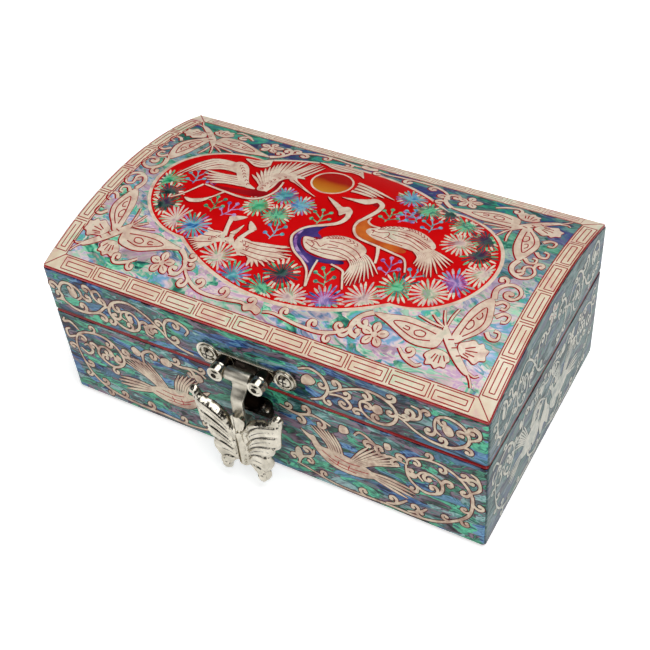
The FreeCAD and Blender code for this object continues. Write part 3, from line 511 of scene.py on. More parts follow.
class Sheet:
    """Inlays drawn flat on one face of the box, one mesh for each layer."""

    LIFTS = dict.fromkeys(("edge", "side_edge_shaded", "end_edge_shaded", "crimson"), EDGE_LIFT) | {"engraved": LINE_LIFT}

    def __init__(self, name, face, body, pearl="pearl", edge="edge", edge_w=TOP_EDGE_W, shift=(0, 0)):
        self.name, self.face, self.body = name, face, body
        self.pearl_look, self.edge_look = pearl, edge
        self.edge_w, self.shift = edge_w, shift
        self.layers = {}
        self.drawn = 0
        self.level = None
        self.group = 0

    def layer(self, look):
        if look not in self.layers:
            self.layers[look] = bmesh.new()
        self.drawn += 1
        level = STACK_LEVELS * (GOLDEN * self.drawn % 1) if self.level is None else self.level
        return self.layers[look], level * STACK_STEP + self.group * GROUP_STEP

    def fill(self, outline, look):
        mesh, lift = self.layer(look)
        corners = [mesh.verts.new((u, v, lift)) for u, v in outline]
        for trio in tessellate_polygon([[Vector((u, v, 0)) for u, v in outline]]):
            face = mesh.faces.new([corners[i] for i in trio])
            face.normal_update()
            if face.normal.z < 0:
                face.normal_flip()

    def band(self, line, widths, look, closed=False):
        mesh, lift = self.layer(look)
        count = len(line)
        pairs = []
        for i, (u, v) in enumerate(line):
            before = line[i - 1] if closed or i else line[0]
            after = line[(i + 1) % count] if closed or i < count - 1 else line[-1]
            along = Vector((after[0] - before[0], after[1] - before[1])).normalized()
            half = spread(widths, i / (count - 1)) / 2
            pairs.append((mesh.verts.new((u - along.y * half, v + along.x * half, lift)),
                          mesh.verts.new((u + along.y * half, v - along.x * half, lift))))
        for i in range(count if closed else count - 1):
            (a, b), (c, d) = pairs[i], pairs[(i + 1) % count]
            mesh.faces.new((b, d, c, a))

    # The dark line is the inlay's own outline; moving it to one side paints a shadow
    def shadow_shifted(self, line):
        return [(u + self.shift[0], v + self.shift[1]) for u, v in line]

    def pearl(self, outline):
        """A pearl shape with a dark line round it, moved to one side by the sheet's painted-shadow shift."""
        self.fill(outline, self.pearl_look)
        self.band(self.shadow_shifted(outline), (2 * self.edge_w, 2 * self.edge_w), self.edge_look, closed=True)

    def stroke(self, line, widths):
        """A pearl ribbon with a dark line on both sides, moved to one side by the painted-shadow shift."""
        self.band(line, widths, self.pearl_look)
        self.band(self.shadow_shifted(line), [w + 2 * self.edge_w for w in widths], self.edge_look)

    def line(self, line, width):
        self.band(line, (width, width), "engraved")

    def shape(self, points, per=5):
        """A pearl shape with a smooth outline through the points."""
        self.pearl(curve(points, True, per))

    def tint(self, points, look):
        """A coloured shape with a smooth outline and no line round it."""
        self.fill(curve(points, True), look)

    def ribbon(self, points, widths):
        """A pearl ribbon along a smooth line through the points."""
        self.stroke(curve(points), widths)

    def fan(self, roots, mids, tips, count, share=0.64):
        """Feathers that run side by side from the roots past the mids to the tips, kept on the panel."""
        rows = (roots, mids, tips)
        widths = []
        for row, part, least in zip(rows, FEATHER_SHARES, FEATHER_LEAST):
            widths.append(max(part * (share * run_length(row) / (count - 1)), least))
        for i in range(count):
            root, mid, tip = [spread(row, i / (count - 1)) for row in rows]
            while self.face == "top" and in_panel(*mid) and not in_panel(*tip):
                tip = spread((tip, mid), CLIP_SHARE)
            self.ribbon([root, mid, tip], (*widths, FEATHER_TIP))

    def build(self):
        place = FACES[self.face]
        for look, mesh in self.layers.items():
            if self.face == "top":
                cuts = math.ceil(BORDER_D / ARCH_CUT)
                for i in range(-cuts, cuts + 1):
                    everything = mesh.verts[:] + mesh.edges[:] + mesh.faces[:]
                    cut = (0, i * ARCH_CUT, 0)
                    bmesh.ops.bisect_plane(mesh, geom=everything, plane_co=cut, plane_no=(0, 1, 0))
            for face in mesh.faces:
                face.normal_update()
            folded = [face for face in mesh.faces if face.normal.z < FOLDED]
            bmesh.ops.delete(mesh, geom=folded, context="FACES")
            lift = self.LIFTS.get(look, PEARL_LIFT)
            for vert in mesh.verts:
                vert.co = place(vert.co.x, vert.co.y, lift + vert.co.z)
            piece = place_piece(f"{self.name}_{look}", mesh, look, self.body)
            thick = piece.modifiers.new("thickness", "SOLIDIFY")
            thick.thickness = INLAY_T * MM


# Outline of the red panel on the lid

RIM_U = (rim_low.x + rim_high.x) / 2
RIM_HALF = (rim_high.x - rim_low.x) / 2
UPPER_CUSP_SHARES = (0.56, 0.68)
LOWER_CUSP_SHARES = (0.61, 0.65)
RIM_INSET = 2.2


def arc_through(a, b, c, count=16):
    """Points on the circle through three points, from the first up to the last."""
    ax, ay, bx, by, cx, cy = *a, *b, *c
    d = 2 * (ax * (by - cy) + bx * (cy - ay) + cx * (ay - by))
    aa, bb, cc = ax * ax + ay * ay, bx * bx + by * by, cx * cx + cy * cy
    u = (aa * (by - cy) + bb * (cy - ay) + cc * (ay - by)) / d
    v = (aa * (cx - bx) + bb * (ax - cx) + cc * (bx - ax)) / d
    start, middle, end = [math.atan2(p[1] - v, p[0] - u) for p in (a, b, c)]
    sweep = (end - start) % (2 * math.pi)
    if (middle - start) % (2 * math.pi) > sweep:
        sweep -= 2 * math.pi
    r = math.hypot(ax - u, ay - v)
    return [polar(u, v, r, start + sweep * i / count) for i in range(count)]


def cartouche_outline(inset):
    half, up, down = RIM_HALF - inset, rim_high.y - inset, -rim_low.y - inset
    upper = (half * UPPER_CUSP_SHARES[0], up * UPPER_CUSP_SHARES[1])
    lower = (half * LOWER_CUSP_SHARES[0], -down * LOWER_CUSP_SHARES[1])
    ends = [(RIM_U + side * u, v) for side, (u, v) in ((-1, upper), (1, upper), (1, lower), (-1, lower))]
    tops = ((RIM_U, up), (RIM_U + half, 0), (RIM_U, -down), (RIM_U - half, 0))
    outline = []
    for i in range(4):
        outline += arc_through(ends[i], tops[i], ends[(i + 1) % 4])
    return [(u, ARCH_R * math.asin(v / ARCH_R)) for u, v in outline]


PANEL = cartouche_outline(RIM_INSET)


def in_panel(u, v):
    inside = False
    for (au, av), (bu, bv) in zip(PANEL, PANEL[1:] + PANEL[:1]):
        if (av > v) != (bv > v) and u < au + (bu - au) * (v - av) / (bv - av):
            inside = not inside
    return inside


# Motifs

NEEDLES = 21
NEEDLE_SWAY = 0.15
NEEDLE_REACH_SHARES = (0.86, 1.0)
NEEDLE_CLIP = 0.4
LEAST_REACH = 1.5
GROUND_SHARE = 0.92
ROOT_SHARE, MIDDLE_SHARE, SWELL_SHARE = 0.1, 0.62, 0.82
ROOT_W, MIDDLE_W, SWELL_W, TIP_W = 0.5, 0.95, 1.1, 0.4
HEART_SHARE = 0.2
NEEDLE_TIPS = {
    "green_shell": ("green_shell", "pale_shell", "pale_shell", "dark_shell"),
    "blue_shell": ("blue_shell", "pale_shell", "green_shell", "violet_shell"),
    "violet_shell": ("violet_shell", "rose_shell", "pale_shell", "blue_shell"),
    "rose_shell": ("pale_shell", "pale_shell", "rose_shell"),
    "dark_shell": ("pale_shell", "green_shell", "dark_shell"),
}


def pine(sheet, u, v, r, look):
    """A burst of pine needles on its own red ground, kept inside the panel."""
    start = random.uniform(0, 2 * NEEDLE_SWAY)
    needles = []
    for i in range(NEEDLES):
        a = start + 2 * math.pi * (i + random.uniform(-NEEDLE_SWAY, NEEDLE_SWAY)) / NEEDLES
        reach = r * random.uniform(*NEEDLE_REACH_SHARES)
        while reach > LEAST_REACH and not in_panel(*polar(u, v, reach, a)):
            reach -= NEEDLE_CLIP
        needles.append((a, reach))
    sheet.fill([polar(u, v, GROUND_SHARE * reach, a) for a, reach in needles], "red_lacquer")
    sheet.level += 1
    for a, reach in needles:
        root, middle, swell, tip = [polar(u, v, share * reach, a)
                                    for share in (ROOT_SHARE, MIDDLE_SHARE, SWELL_SHARE, 1.0)]
        sheet.band([root, middle], (ROOT_W, MIDDLE_W), look)
        sheet.band([middle, swell, tip], (MIDDLE_W, SWELL_W, TIP_W), random.choice(NEEDLE_TIPS[look]))
    sheet.level += 1
    sheet.fill(oval(u, v, HEART_SHARE * r, HEART_SHARE * r, sides=10), look)


SPRIG_SIZE = 4.6
SPRIG_STEM_SHARES = ((-0.1, -1), (0.1, 0), (-0.1, 1))
SPRIG_ARM_SHARES = ((0.75, 0.9, 0.1), (-0.8, 0.75, -0.1), (0.85, -0.1, -0.6), (-0.8, -0.3, -0.8),
                    (-0.1, 1.15, 0.8))
SPRIG_WIDTHS = (0.35, 0.55, 0.4)
ARM_W = 0.45
BUD_R = 1.0


def sprig(sheet, u, v, look, turn):
    """A plum sprig: a bent stem with short arms that end in buds."""
    def at(x, y):
        return turned(u, v, SPRIG_SIZE * x, SPRIG_SIZE * y, turn)
    sheet.band(curve([at(*share) for share in SPRIG_STEM_SHARES]), SPRIG_WIDTHS, look)
    for x, y, root in SPRIG_ARM_SHARES:
        sheet.band([at(0, root), at(x, y)], (ARM_W, ARM_W), look)
        sheet.fill(oval(*at(x, y), BUD_R, BUD_R, sides=8), look)


PETALS = 5
PETAL_SHARES = ((0.2, 0), (0.62, -0.5), (0.9, -0.3), (1.08, 0), (0.9, 0.3), (0.62, 0.5))
EYE_SHARE = 0.24
VEIN_SHARES = (0.4, 0.8)
VEIN_W = 0.3


def flower(sheet, u, v, r, turn):
    """Five petals, each through a share of the radius and a lean to its side, round an eye."""
    angles = [turn + 2 * math.pi * i / PETALS for i in range(PETALS)]
    for a in angles:
        sheet.shape([polar(u, v, share * r, a + lean) for share, lean in PETAL_SHARES], 3)
    sheet.pearl(oval(u, v, EYE_SHARE * r, EYE_SHARE * r))
    for a in angles:
        sheet.line([polar(u, v, share * r, a) for share in VEIN_SHARES], VEIN_W)


CURL_SHARES = ((0, 0), (0.8, 0.15), (1.35, 0.7), (1.3, 1.4), (0.7, 1.6), (0.45, 1.15))
CURL_WIDTH_SHARES = (0.3, 0.5, 0.65, 0.55, 0.5, 0.6)
CURL_END_SHARE = 0.42
CURL_SIZE = 2.5
CURL_SIZE_SHARES = (0.85, 1.1)
CURL_LEAN = 0.3
CURL_START_SHARE, CURL_END_ROOM = 0.6, 0.2
TOP_LINE_W = 0.52


def curl(sheet, u, v, a, size, way):
    """A comma-shaped curl that leaves its stem along a and turns to one side."""
    points = [turned(u, v, size * x, size * y * way, a) for x, y in CURL_SHARES]
    if all(in_bounds(sheet, *point) for point in points):
        sheet.stroke(curve(points, per=4), [size * share for share in CURL_WIDTH_SHARES])
        sheet.pearl(oval(*points[-1], CURL_END_SHARE * size, CURL_END_SHARE * size, sides=10))


def vine(sheet, widths, points, curls, size):
    """A stem with curls on alternate sides."""
    line = curve(points)
    sheet.stroke(line, widths)
    for i in range(curls):
        at = int((i + CURL_START_SHARE) / (curls + CURL_END_ROOM) * (len(line) - 2))
        (u, v), (next_u, next_v) = line[at], line[at + 1]
        way = 1 if i % 2 == 0 else -1
        a = math.atan2(next_v - v, next_u - u) + CURL_LEAN * way
        curl(sheet, u, v, a, size * random.uniform(*CURL_SIZE_SHARES), way)


def drawing(sheet, turn, fills=(), stems=(), lines=(), size=CURL_SIZE):
    """A group of outlines, stems and engraved lines, moved onto the face by turn."""
    def at(points):
        return [turn(*p) for p in points]
    for outline in fills:
        sheet.shape(at(outline), 4)
    for widths, points, curls in stems:
        vine(sheet, widths, at(points), curls, size)
    for points in lines:
        sheet.line(curve(at(points), per=4), TOP_LINE_W if sheet.face == "top" else LINE_W)


# Corners of the lid: butterflies and vines

WING_FILLS = [
    [(79.5, -37), (82, -34), (86, -29.5), (88, -24), (87, -18), (84.5, -11.5), (81.5, -14), (78.8, -20),
     (77.5, -28), (77, -35)],
    [(73.5, -34), (66, -33), (58, -32.3), (50, -34), (44, -35.4), (50, -37.5), (56, -40.2), (62, -42.7),
     (68, -43), (73.5, -41)],
    [(81, -37), (84, -34.6), (86, -33.4), (88, -34.6), (89.6, -33.6), (91, -35.4), (92.8, -36),
     (92.4, -38.4), (93, -40.4), (91, -41.2), (89.6, -43.2), (87, -42), (83, -41)],
    [(71.5, -44), (70.6, -46), (72, -47.4), (72.4, -49.4), (74.6, -48.8), (76.6, -50), (78, -48.6),
     (80, -48.4), (79.8, -46.4), (80.6, -45), (78.5, -42.5), (74, -42)],
    [(72.5, -30.5), (75, -32.5), (80, -38.2), (85.5, -43.6), (89.5, -47.6), (88, -48.4), (83, -45.2),
     (77, -39.6), (73, -34.5)],
]
WHISKER, HOOK, TAIL_END = (0.5, 0.9, 0.5), (1.6, 1.3, 0.8, 1.2), (0.7, 0.5)
WING_STEMS = [
    ((2.2, 1.7, 1.3, 0.9, 1.3), [(84.5, -11.5), (83.4, -7), (85, -3.4), (88.5, -1.6), (92, -3), (93.2, -6.4),
                                 (91, -9.6), (88.3, -8.6), (88.6, -6)], 2),
    ((2.2, 1.8, 1.3, 1.0), [(44, -35.4), (40.2, -38.4), (38, -43), (39.2, -47.4), (42.5, -48.4)], 2),
    (WHISKER, [(72, -32), (67, -31.4), (61, -30)], 0),
    (WHISKER, [(72.3, -31.6), (69, -29.8), (66, -27.6)], 0),
    (WHISKER, [(72.7, -31), (71, -27.8), (69.5, -24)], 0),
    (WHISKER, [(73.4, -30.8), (73.6, -26), (74.5, -21.5)], 0),
    (TAIL_END, [(89, -47.8), (91, -50), (92.6, -52.8)], 0),
    (TAIL_END, [(89.2, -47.2), (92, -48.2), (93.6, -47)], 0),
    (HOOK, [(86, -14), (88.2, -11.8), (90.8, -12.6), (90.6, -15.2), (88.8, -15.4)], 0),
    (HOOK, [(88.6, -20), (91, -17.4), (93.6, -18), (93.4, -21), (91.4, -21.6)], 0),
    (HOOK, [(88.4, -28), (90.6, -30.4), (93.4, -30), (93.2, -26.8), (91, -26.4)], 0),
    ((0.8, 1.5, 1.2, 0.7), [(60, -46.4), (64, -49.6), (69, -51.4), (71.4, -50)], 2),
]
WING_LINES = [
    [(79.4, -33), (80, -27), (81.6, -21), (83.6, -17), (85, -20), (85.6, -25), (83.6, -29.6), (80.6, -33.4)],
    [(79.8, -29), (81.6, -29.4), (82.6, -27), (81.4, -24.8), (79.9, -26)],
    [(82, -23), (83.4, -23.6), (84, -21.6), (83, -20)],
    [(71, -36), (64, -35), (57, -35), (53, -36.4), (58, -39), (64, -40.8), (70, -39.6)],
    [(64.5, -36.4), (67, -37), (66.6, -39), (63.6, -39.2), (62.6, -37.6), (64.5, -36.4)],
    [(58, -36.6), (60, -36.8), (60, -38.2), (57.6, -37.8)],
    [(84, -38), (87.4, -36)], [(84.4, -38.8), (89, -38)], [(84.6, -39.8), (88.6, -40.2)],
    [(84, -40.4), (86.6, -41.2)],
    [(74.4, -44), (73.6, -46.6)], [(75.4, -44.2), (75, -47.6)], [(76.6, -44.2), (77, -47.6)],
    [(77.6, -43.8), (79, -46)],
    [(76.2, -36.6), (78.4, -35.8)], [(79, -39.6), (81, -38.8)], [(82, -42.4), (83.6, -41.6)],
]
VINE_STEM = (0.9, 1.5, 1.2, 0.8)
VINES = [
    (VINE_STEM, [(-44, -40), (-38, -47), (-30, -51.2), (-20, -51.4), (-10, -50), (-7, -51)], 7),
    (VINE_STEM, [(40, -41.6), (36, -47.6), (28, -51.2), (18, -51.4), (6, -50), (1, -51)], 7),
]
MID_LEAF = [(-8, -50.4), (-4, -49), (0, -50.6), (-1, -53), (-4, -52), (-7, -53)]
CORNER_FLOWER = (48.5, -44.6)
CORNER_FLOWER_R = 5.4
CORNER_FLOWER_TURN = 0.4
CORNER_SHIFT_U = 2 * RIM_U
CORNER_SHIFT_V = 2.0


def corner_turn(flip_u, flip_v):
    def turn(u, v):
        return ((CORNER_SHIFT_U - u) if flip_u else u, (CORNER_SHIFT_V - v) if flip_v else v)
    return turn


def dress_corners(sheet):
    for flip_v in (False, True):
        for flip_u in (False, True):
            turn = corner_turn(flip_u, flip_v)
            drawing(sheet, turn, WING_FILLS, WING_STEMS, WING_LINES)
            flower(sheet, *turn(*CORNER_FLOWER), CORNER_FLOWER_R, CORNER_FLOWER_TURN)
        drawing(sheet, corner_turn(False, flip_v), [MID_LEAF], VINES)


# Key fret on the border of the lid

FRET_STEP = 1.8
FRET_LENGTH = 17.6
FRET_GAP = 2.6
FRET_EDGE = 0.9
FRET_LINE_W = 0.40
FRET_BACK_W = 0.12


def fret_unit(sheet, place, length, low, high, width):
    """One squared spiral of the key fret, with two short bars after it."""
    a, b, c, d = FRET_GAP / 2, length - FRET_GAP / 2, low, high
    line = [(a, c)]
    while d - c > 2 * FRET_STEP:
        line += [(a, d), (b, d), (b, c + FRET_STEP), (a + FRET_STEP, c + FRET_STEP)]
        a, b, c, d = a + FRET_STEP, b - FRET_STEP, c + FRET_STEP, d - FRET_STEP
    line += [(a, d), (b, d)]
    for start, end in zip(line, line[1:]):
        sheet.line([place(*start), place(*end)], width)
    sheet.line([place(FRET_GAP / 2, low), place(length - FRET_GAP / 2, low)], width)
    sheet.line([place(length, low), place(length, high)], width)


def fret_border(sheet):
    low, high = FRET_EDGE, (BORDER_D - FIELD_D) - FRET_EDGE
    runs = ((2 * FIELD_W, FRET_LINE_W, lambda s, t: (s, -FIELD_D - t)),
            (2 * FIELD_W, FRET_BACK_W, lambda s, t: (-s, FIELD_D + t)),
            (2 * FIELD_D, FRET_LINE_W, lambda s, t: (-FIELD_W - t, -s)),
            (2 * FIELD_D, FRET_LINE_W, lambda s, t: (FIELD_W + t, s)))
    for run, width, place in runs:
        count = round(run / FRET_LENGTH)
        length = run / count
        for i in range(count):
            start = i * length - run / 2
            if i < count / 2:
                fret_unit(sheet, lambda s, t: place(start + s, t), length, low, high, width)
            else:
                fret_unit(sheet, lambda s, t: place(start + length - s, t), length, low, high, width)
    for side in (-1, 1):
        for end in (-1, 1):
            sheet.line([(side * FIELD_W, end * FIELD_D), (side * BORDER_W, end * BORDER_D)], FRET_LINE_W)
    inner = [(-FIELD_W, -FIELD_D), (FIELD_W, -FIELD_D), (FIELD_W, FIELD_D), (-FIELD_W, FIELD_D)]
    for a, b in zip(inner, inner[1:] + inner[:1]):
        sheet.line([a, b], FRET_LINE_W)


# The picture on the panel

SCALE_W = 0.34
SCALE_TURN = 2.4
SCALE_TIP_SHARE = 0.5
PLUME_LINE_W = 0.38


def scales(sheet, points, count, size):
    """A row of small scale-shaped lines along a back."""
    line = curve(points)
    for i in range(count):
        at = int((i + 0.5) / count * (len(line) - 2))
        (u, v), (next_u, next_v) = line[at], line[at + 1]
        a = math.atan2(next_v - v, next_u - u)
        tip = polar(u, v, SCALE_TIP_SHARE * size, a)
        ends = [polar(u, v, size, a + way * SCALE_TURN) for way in (1, -1)]
        sheet.line(curve([ends[0], tip, ends[1]], per=3), SCALE_W)


def engrave(sheet, *lines):
    for points in lines:
        sheet.line(curve(points, per=4), PLUME_LINE_W)


def flying_crane(sheet):
    sheet.tint([(-56, 4.4), (-45, 6.6), (-36, 9.6), (-31, 10.4), (-31.6, 16), (-32, 21), (-30.4, 20.6),
                (-29.4, 14), (-29.6, 9), (-31, 6), (-40, 4.2), (-50, 3.6)], "crimson")
    sheet.fan([(-50, 17.5), (-54, 21), (-57, 24)], [(-60, 17.6), (-65, 20), (-69, 21.5)],
              [(-68.5, 12.5), (-73, 8), (-77.5, 4.5)], 5)
    sheet.fan([(-44, 9.5), (-46, 12), (-49, 15)], [(-54, 8), (-57, 10.5), (-59, 13)],
              [(-60, 5.4), (-64.5, 8), (-67, 13)], 5)
    sheet.fan([(-38, 13), (-36.5, 17), (-35, 21), (-33, 25)],
              [(-42, 16.5), (-40, 23), (-37, 29), (-31.5, 33.5)],
              [(-46, 19), (-44, 25), (-41.5, 30.5), (-39.5, 35), (-35.5, 39), (-30, 41.5)], 13)
    sheet.fan([(-32, 26), (-29, 27.4), (-25, 27.6)], [(-29, 34), (-26.5, 35), (-22.5, 34.4)],
              [(-27, 42.4), (-24, 43), (-20.5, 41)], 5)
    sheet.shape([(-38.5, 9.6), (-43.5, 12.6), (-47.5, 19), (-50.5, 23.4), (-53.5, 25.6), (-57, 26),
                 (-58, 23), (-53, 17), (-49, 12), (-44, 9)])
    sheet.shape([(-37.5, 9.6), (-38.4, 14), (-36.4, 20), (-32.6, 26.4), (-26, 28.2), (-23, 26.8),
                 (-27.4, 25.6), (-31.6, 22), (-33.6, 15), (-33.4, 10.6)])
    sheet.shape([(-25.4, 45.2), (-20, 47.2), (-12, 48.4), (-5.5, 48.2), (-3, 45), (-1, 41.4), (-4, 43),
                 (-8, 43.6), (-13, 42.2), (-18, 42.8), (-22, 44.4)])
    sheet.fan([(-0.6, 36), (0.6, 32), (0, 28)], [(6, 34.6), (6, 31.4), (4.6, 28.2)],
              [(20, 30.2), (13, 29), (11, 27.6)], 4)
    sheet.shape([(-56, 30), (-50, 31.5), (-45, 35.4), (-44, 33), (-43, 29.4), (-45, 26.8), (-49, 26),
                 (-53, 28)])
    sheet.ribbon([(-61, 3.4), (-50, 2.4), (-40, 2), (-34, 4), (-30.4, 8.6), (-29.2, 14), (-30, 20)],
                 (0.9, 1.2, 1.1, 0.9))
    sheet.ribbon([(-33.4, 10), (-32.6, 15), (-32.8, 20), (-30.6, 24), (-27.6, 25)], (1.0, 1.4, 1.6, 2.6))
    sheet.shape([(-30, 25.4), (-27, 26.6), (-25, 24), (-18, 19.6), (-11.4, 16), (-18, 18.4), (-25, 21.6),
                 (-28, 22.4)], 3)
    for leg in ([(-61.5, 3), (-64, -2), (-67, -7), (-70.4, -10.4)], [(-50, 2), (-53, -3), (-57.4, -7)]):
        sheet.ribbon(leg, (1.1, 0.8, 0.8))
    sheet.shape([(-64.4, -8), (-61, -9.8), (-56, -8), (-53.6, -4.6), (-57, -6), (-60.6, -7.6)])
    scales(sheet, [(-43, 11), (-48, 16), (-52, 21), (-56, 24.4)], 7, 1.1)
    scales(sheet, [(-36, 11), (-36, 16), (-34, 21), (-30, 25.6)], 7, 1.0)
    engrave(sheet, [(-24, 46), (-14, 46.2), (-5, 46)], [(-20, 44.6), (-12, 44.2), (-5, 44.6)],
            [(-54, 29.6), (-48, 29.6), (-44.6, 32)], [(-51, 28), (-47, 28), (-44.4, 29.6)],
            [(-27, 23.6), (-20, 19.6)])


def dark_crane(sheet):
    sheet.tint([(4.6, 1), (1.5, -1.4), (-2.4, -3), (-5, -5.6), (-6.2, -9.4), (-5.8, -13), (-3.2, -17),
                (2, -20.8), (7, -23.6), (9.4, -26), (10, -21), (14, -20), (20.4, -18), (19.6, -16.4),
                (14, -17.8), (8, -18.4), (2.6, -17.2), (-1, -14.4), (-2.8, -11), (-2, -9.2), (2, -8.6),
                (5.2, -8), (4, -6.6), (2, -5.2), (2.4, -2.4)], "indigo")
    sheet.band(curve([(-4.6, -6.4), (-5.2, -10), (-3.6, -15), (1, -19), (7, -22.4)]), (0.6, 1.4, 1.4, 0.6),
               "violet_shell")
    sheet.fan([(18, -8), (20, -11), (20, -14)], [(28, -10), (27, -14.5), (24, -17.5)],
              [(36.4, -17.4), (32.6, -23.6), (27.6, -28), (23.6, -24.4)], 11, 0.56)
    sheet.shape([(-2.2, -10), (0, -9), (4.6, -8.8), (5.6, -7), (9, -4.4), (14, -3), (20, -3.6), (25, -6),
                 (26.4, -9), (24, -13), (20, -15.6), (15, -17.2), (9, -17.4), (3, -16.4), (-0.4, -13.6)], 3)
    sheet.ribbon([(6, 13.4), (8.2, 10), (8, 6), (6, 2.8), (1, -0.6), (-4.2, -4.2), (-7, -9), (-6.6, -13),
                  (-2.4, -18.4), (4, -22.4), (8.4, -26.6), (11.6, -34)], (2.4, 2.2, 1.3, 1.1, 1.0, 0.8))
    sheet.ribbon([(16, -19.6), (22, -21), (23.8, -24.2), (26.6, -30)], (0.8, 1.0, 0.7))
    sheet.ribbon([(9.8, -19.6), (10.2, -26), (11.8, -33.6)], (0.8, 0.9, 0.7))
    sheet.shape([(-6.6, 18.8), (-1, 16.6), (3, 14.6), (5.4, 15.6), (8.4, 13.6), (9, 10.6), (6.4, 11),
                 (4.6, 8.6), (2.4, 11.4), (-2, 14.8)], 3)
    sheet.fill(oval(5.6, 12.4, 1.5, 0.9, -0.8), "crimson")
    scales(sheet, [(3, -8.8), (9, -5.6), (15, -4.4), (24, -7)], 12, 1.2)
    engrave(sheet, [(0, -11), (4, -10.6), (7, -12.4), (9, -10), (14, -9.6)],
            [(0, -12.4), (3, -13.6), (7, -14.4)], [(9, -8), (15, -7.4), (22, -9), (26, -12)],
            [(10, -11.6), (16, -10.4), (22, -12), (25, -14)],
            [(8, -13.6), (14, -12.6), (20, -13.4), (23, -15)],
            [(4, -15.2), (10, -15.4), (16, -14.8), (21, -15)], [(2, -11), (4, -12.2), (3.4, -14)])


def amber_crane(sheet):
    sheet.tint([(16.4, 11), (15, 8), (14.6, 4.6), (16.2, 1.4), (20, -0.8), (27, -1.8), (38, -3.2), (41, -1),
                (36, 0.6), (28, 0.6), (22, 2.6), (20.4, 5), (20.6, 7.6), (18, 9.6)], "amber")
    sheet.tint([(22, 0.2), (28, -1.2), (38, -3), (41, -0.8), (36, 1), (28, 1)], "crimson")
    sheet.fan([(42, 6), (44, 3), (43, 1)], [(52, 4), (51, -0.5), (47, -2.4)],
              [(61.4, 0.6), (60, -4.5), (56, -12), (51, -9), (47, -6.4)], 12, 0.56)
    sheet.shape([(19.8, 4.6), (21, 6.6), (24.4, 8), (26, 10), (31, 12.4), (37, 13.4), (43, 12.4), (48, 9.6),
                 (51, 6.4), (50, 3), (46, 0.6), (41.6, 0.4), (36, 0.6), (29, 0.4), (24, 1.2), (20.6, 3)], 3)
    sheet.ribbon([(11, 25.6), (14, 26), (17.4, 23.8), (18, 19.6), (16.8, 15), (15.4, 11.4), (14, 8),
                  (14.2, 4.4), (16.2, 0.8), (20, -1.6), (28, -2.8), (37, -4.2), (42.6, -5.8), (46, -12.4)],
                 (2.2, 2.2, 2.0, 1.2, 1.1, 1.0, 0.8))
    sheet.ribbon([(17.8, 13), (18, 10), (20.4, 8.4), (24.4, 8.2)], (0.8, 1.0, 0.8))
    sheet.ribbon([(29, -2.6), (31, -7), (32.6, -12.4)], (1.6, 1.3, 1.0))
    sheet.shape([(-1.2, 21.4), (4, 22.6), (9.4, 24.8), (12, 26.8), (15, 26.6), (14, 24), (10.6, 21),
                 (4, 21)], 3)
    sheet.fill(oval(14.4, 23, 2.1, 1.3, -0.4), "crimson")
    scales(sheet, [(25, 8.8), (33, 12), (40, 12), (48, 8)], 13, 1.2)
    engrave(sheet, [(24, 7), (32, 9.4), (40, 9), (49, 5.6)], [(33, 8), (40, 7.6), (48, 4)],
            [(31, 6.6), (39, 6), (47, 2.6)], [(22, 5.4), (26, 5.4), (29, 7), (30, 5), (29, 3)],
            [(29.6, 4.4), (34, 3), (40, 3.4), (46, 1.4)], [(23, 2.6), (27, 2.6), (32, 2), (38, 1.6)],
            [(36, 8.6), (44, 6.6), (50, 4.4)], [(21.6, 5.4), (23, 5.6), (23, 3.8)])


def nestlings(sheet):
    sheet.fan([(-36, -22), (-36, -24), (-36, -27)], [(-42, -21), (-43, -26), (-40, -30)],
              [(-48, -19.5), (-53, -25), (-50, -32), (-44, -37)], 14, 0.8)
    sheet.fan([(-27, -21), (-27, -23), (-26, -26)], [(-20, -21), (-15, -24), (-18, -29)],
              [(-11, -19), (-4, -17), (-1, -22.6), (-4, -26.5), (-10, -31), (-17, -34)], 15, 0.8)
    left = [(-34.4, -21.4), (-38, -20.4), (-42, -22), (-43, -26), (-41, -30), (-37.6, -30), (-34, -27)]
    right = [(-28, -20.6), (-22, -20.6), (-18, -23), (-17.4, -26), (-21, -29), (-25, -29), (-28, -26)]
    middle = [(-34.2, -24), (-31, -21.6), (-28.4, -24), (-27, -29), (-30.6, -32), (-34.4, -30)]
    for outline in (left, right, middle):
        sheet.shape(outline, 4)
    heads = [
        ([(-34.6, -22), (-36.2, -16.4), (-37, -12)],
         [(-38.6, -11.6), (-36.6, -9.8), (-31, -8.4), (-35, -12.6)]),
        ([(-31.2, -23), (-31.6, -20)], [(-33.2, -19.6), (-31.6, -17), (-29.8, -13.2), (-30.4, -19)]),
        ([(-27.6, -21.4), (-26, -17), (-24.8, -14.4)],
         [(-23.4, -14), (-25, -12), (-28.6, -10.2), (-26.4, -15)]),
    ]
    for neck, bill in heads:
        sheet.ribbon(neck, (2.2, 1.8, 2.4))
        sheet.shape(bill, 4)
    engrave(sheet, [(-37, -21), (-42, -21.6), (-47, -21)], [(-38, -24), (-43, -25), (-48.6, -25)],
            [(-38, -27), (-42, -28.6), (-46.6, -30)], [(-37, -29), (-40, -31.6), (-43.6, -34)],
            [(-25, -21.6), (-17, -21.6), (-8, -19.6)], [(-24, -24), (-15, -23.6), (-5, -21.6)],
            [(-23, -26), (-14, -26), (-5, -24.6)], [(-23, -28), (-15, -28.6), (-8, -28.6)])
    scales(sheet, [(-36, -23), (-39, -25), (-40, -28)], 4, 1.0)
    scales(sheet, [(-26, -22), (-22, -24), (-21, -27)], 4, 1.0)
    scales(sheet, [(-32.6, -25), (-30, -26), (-31, -29.6)], 4, 0.9)


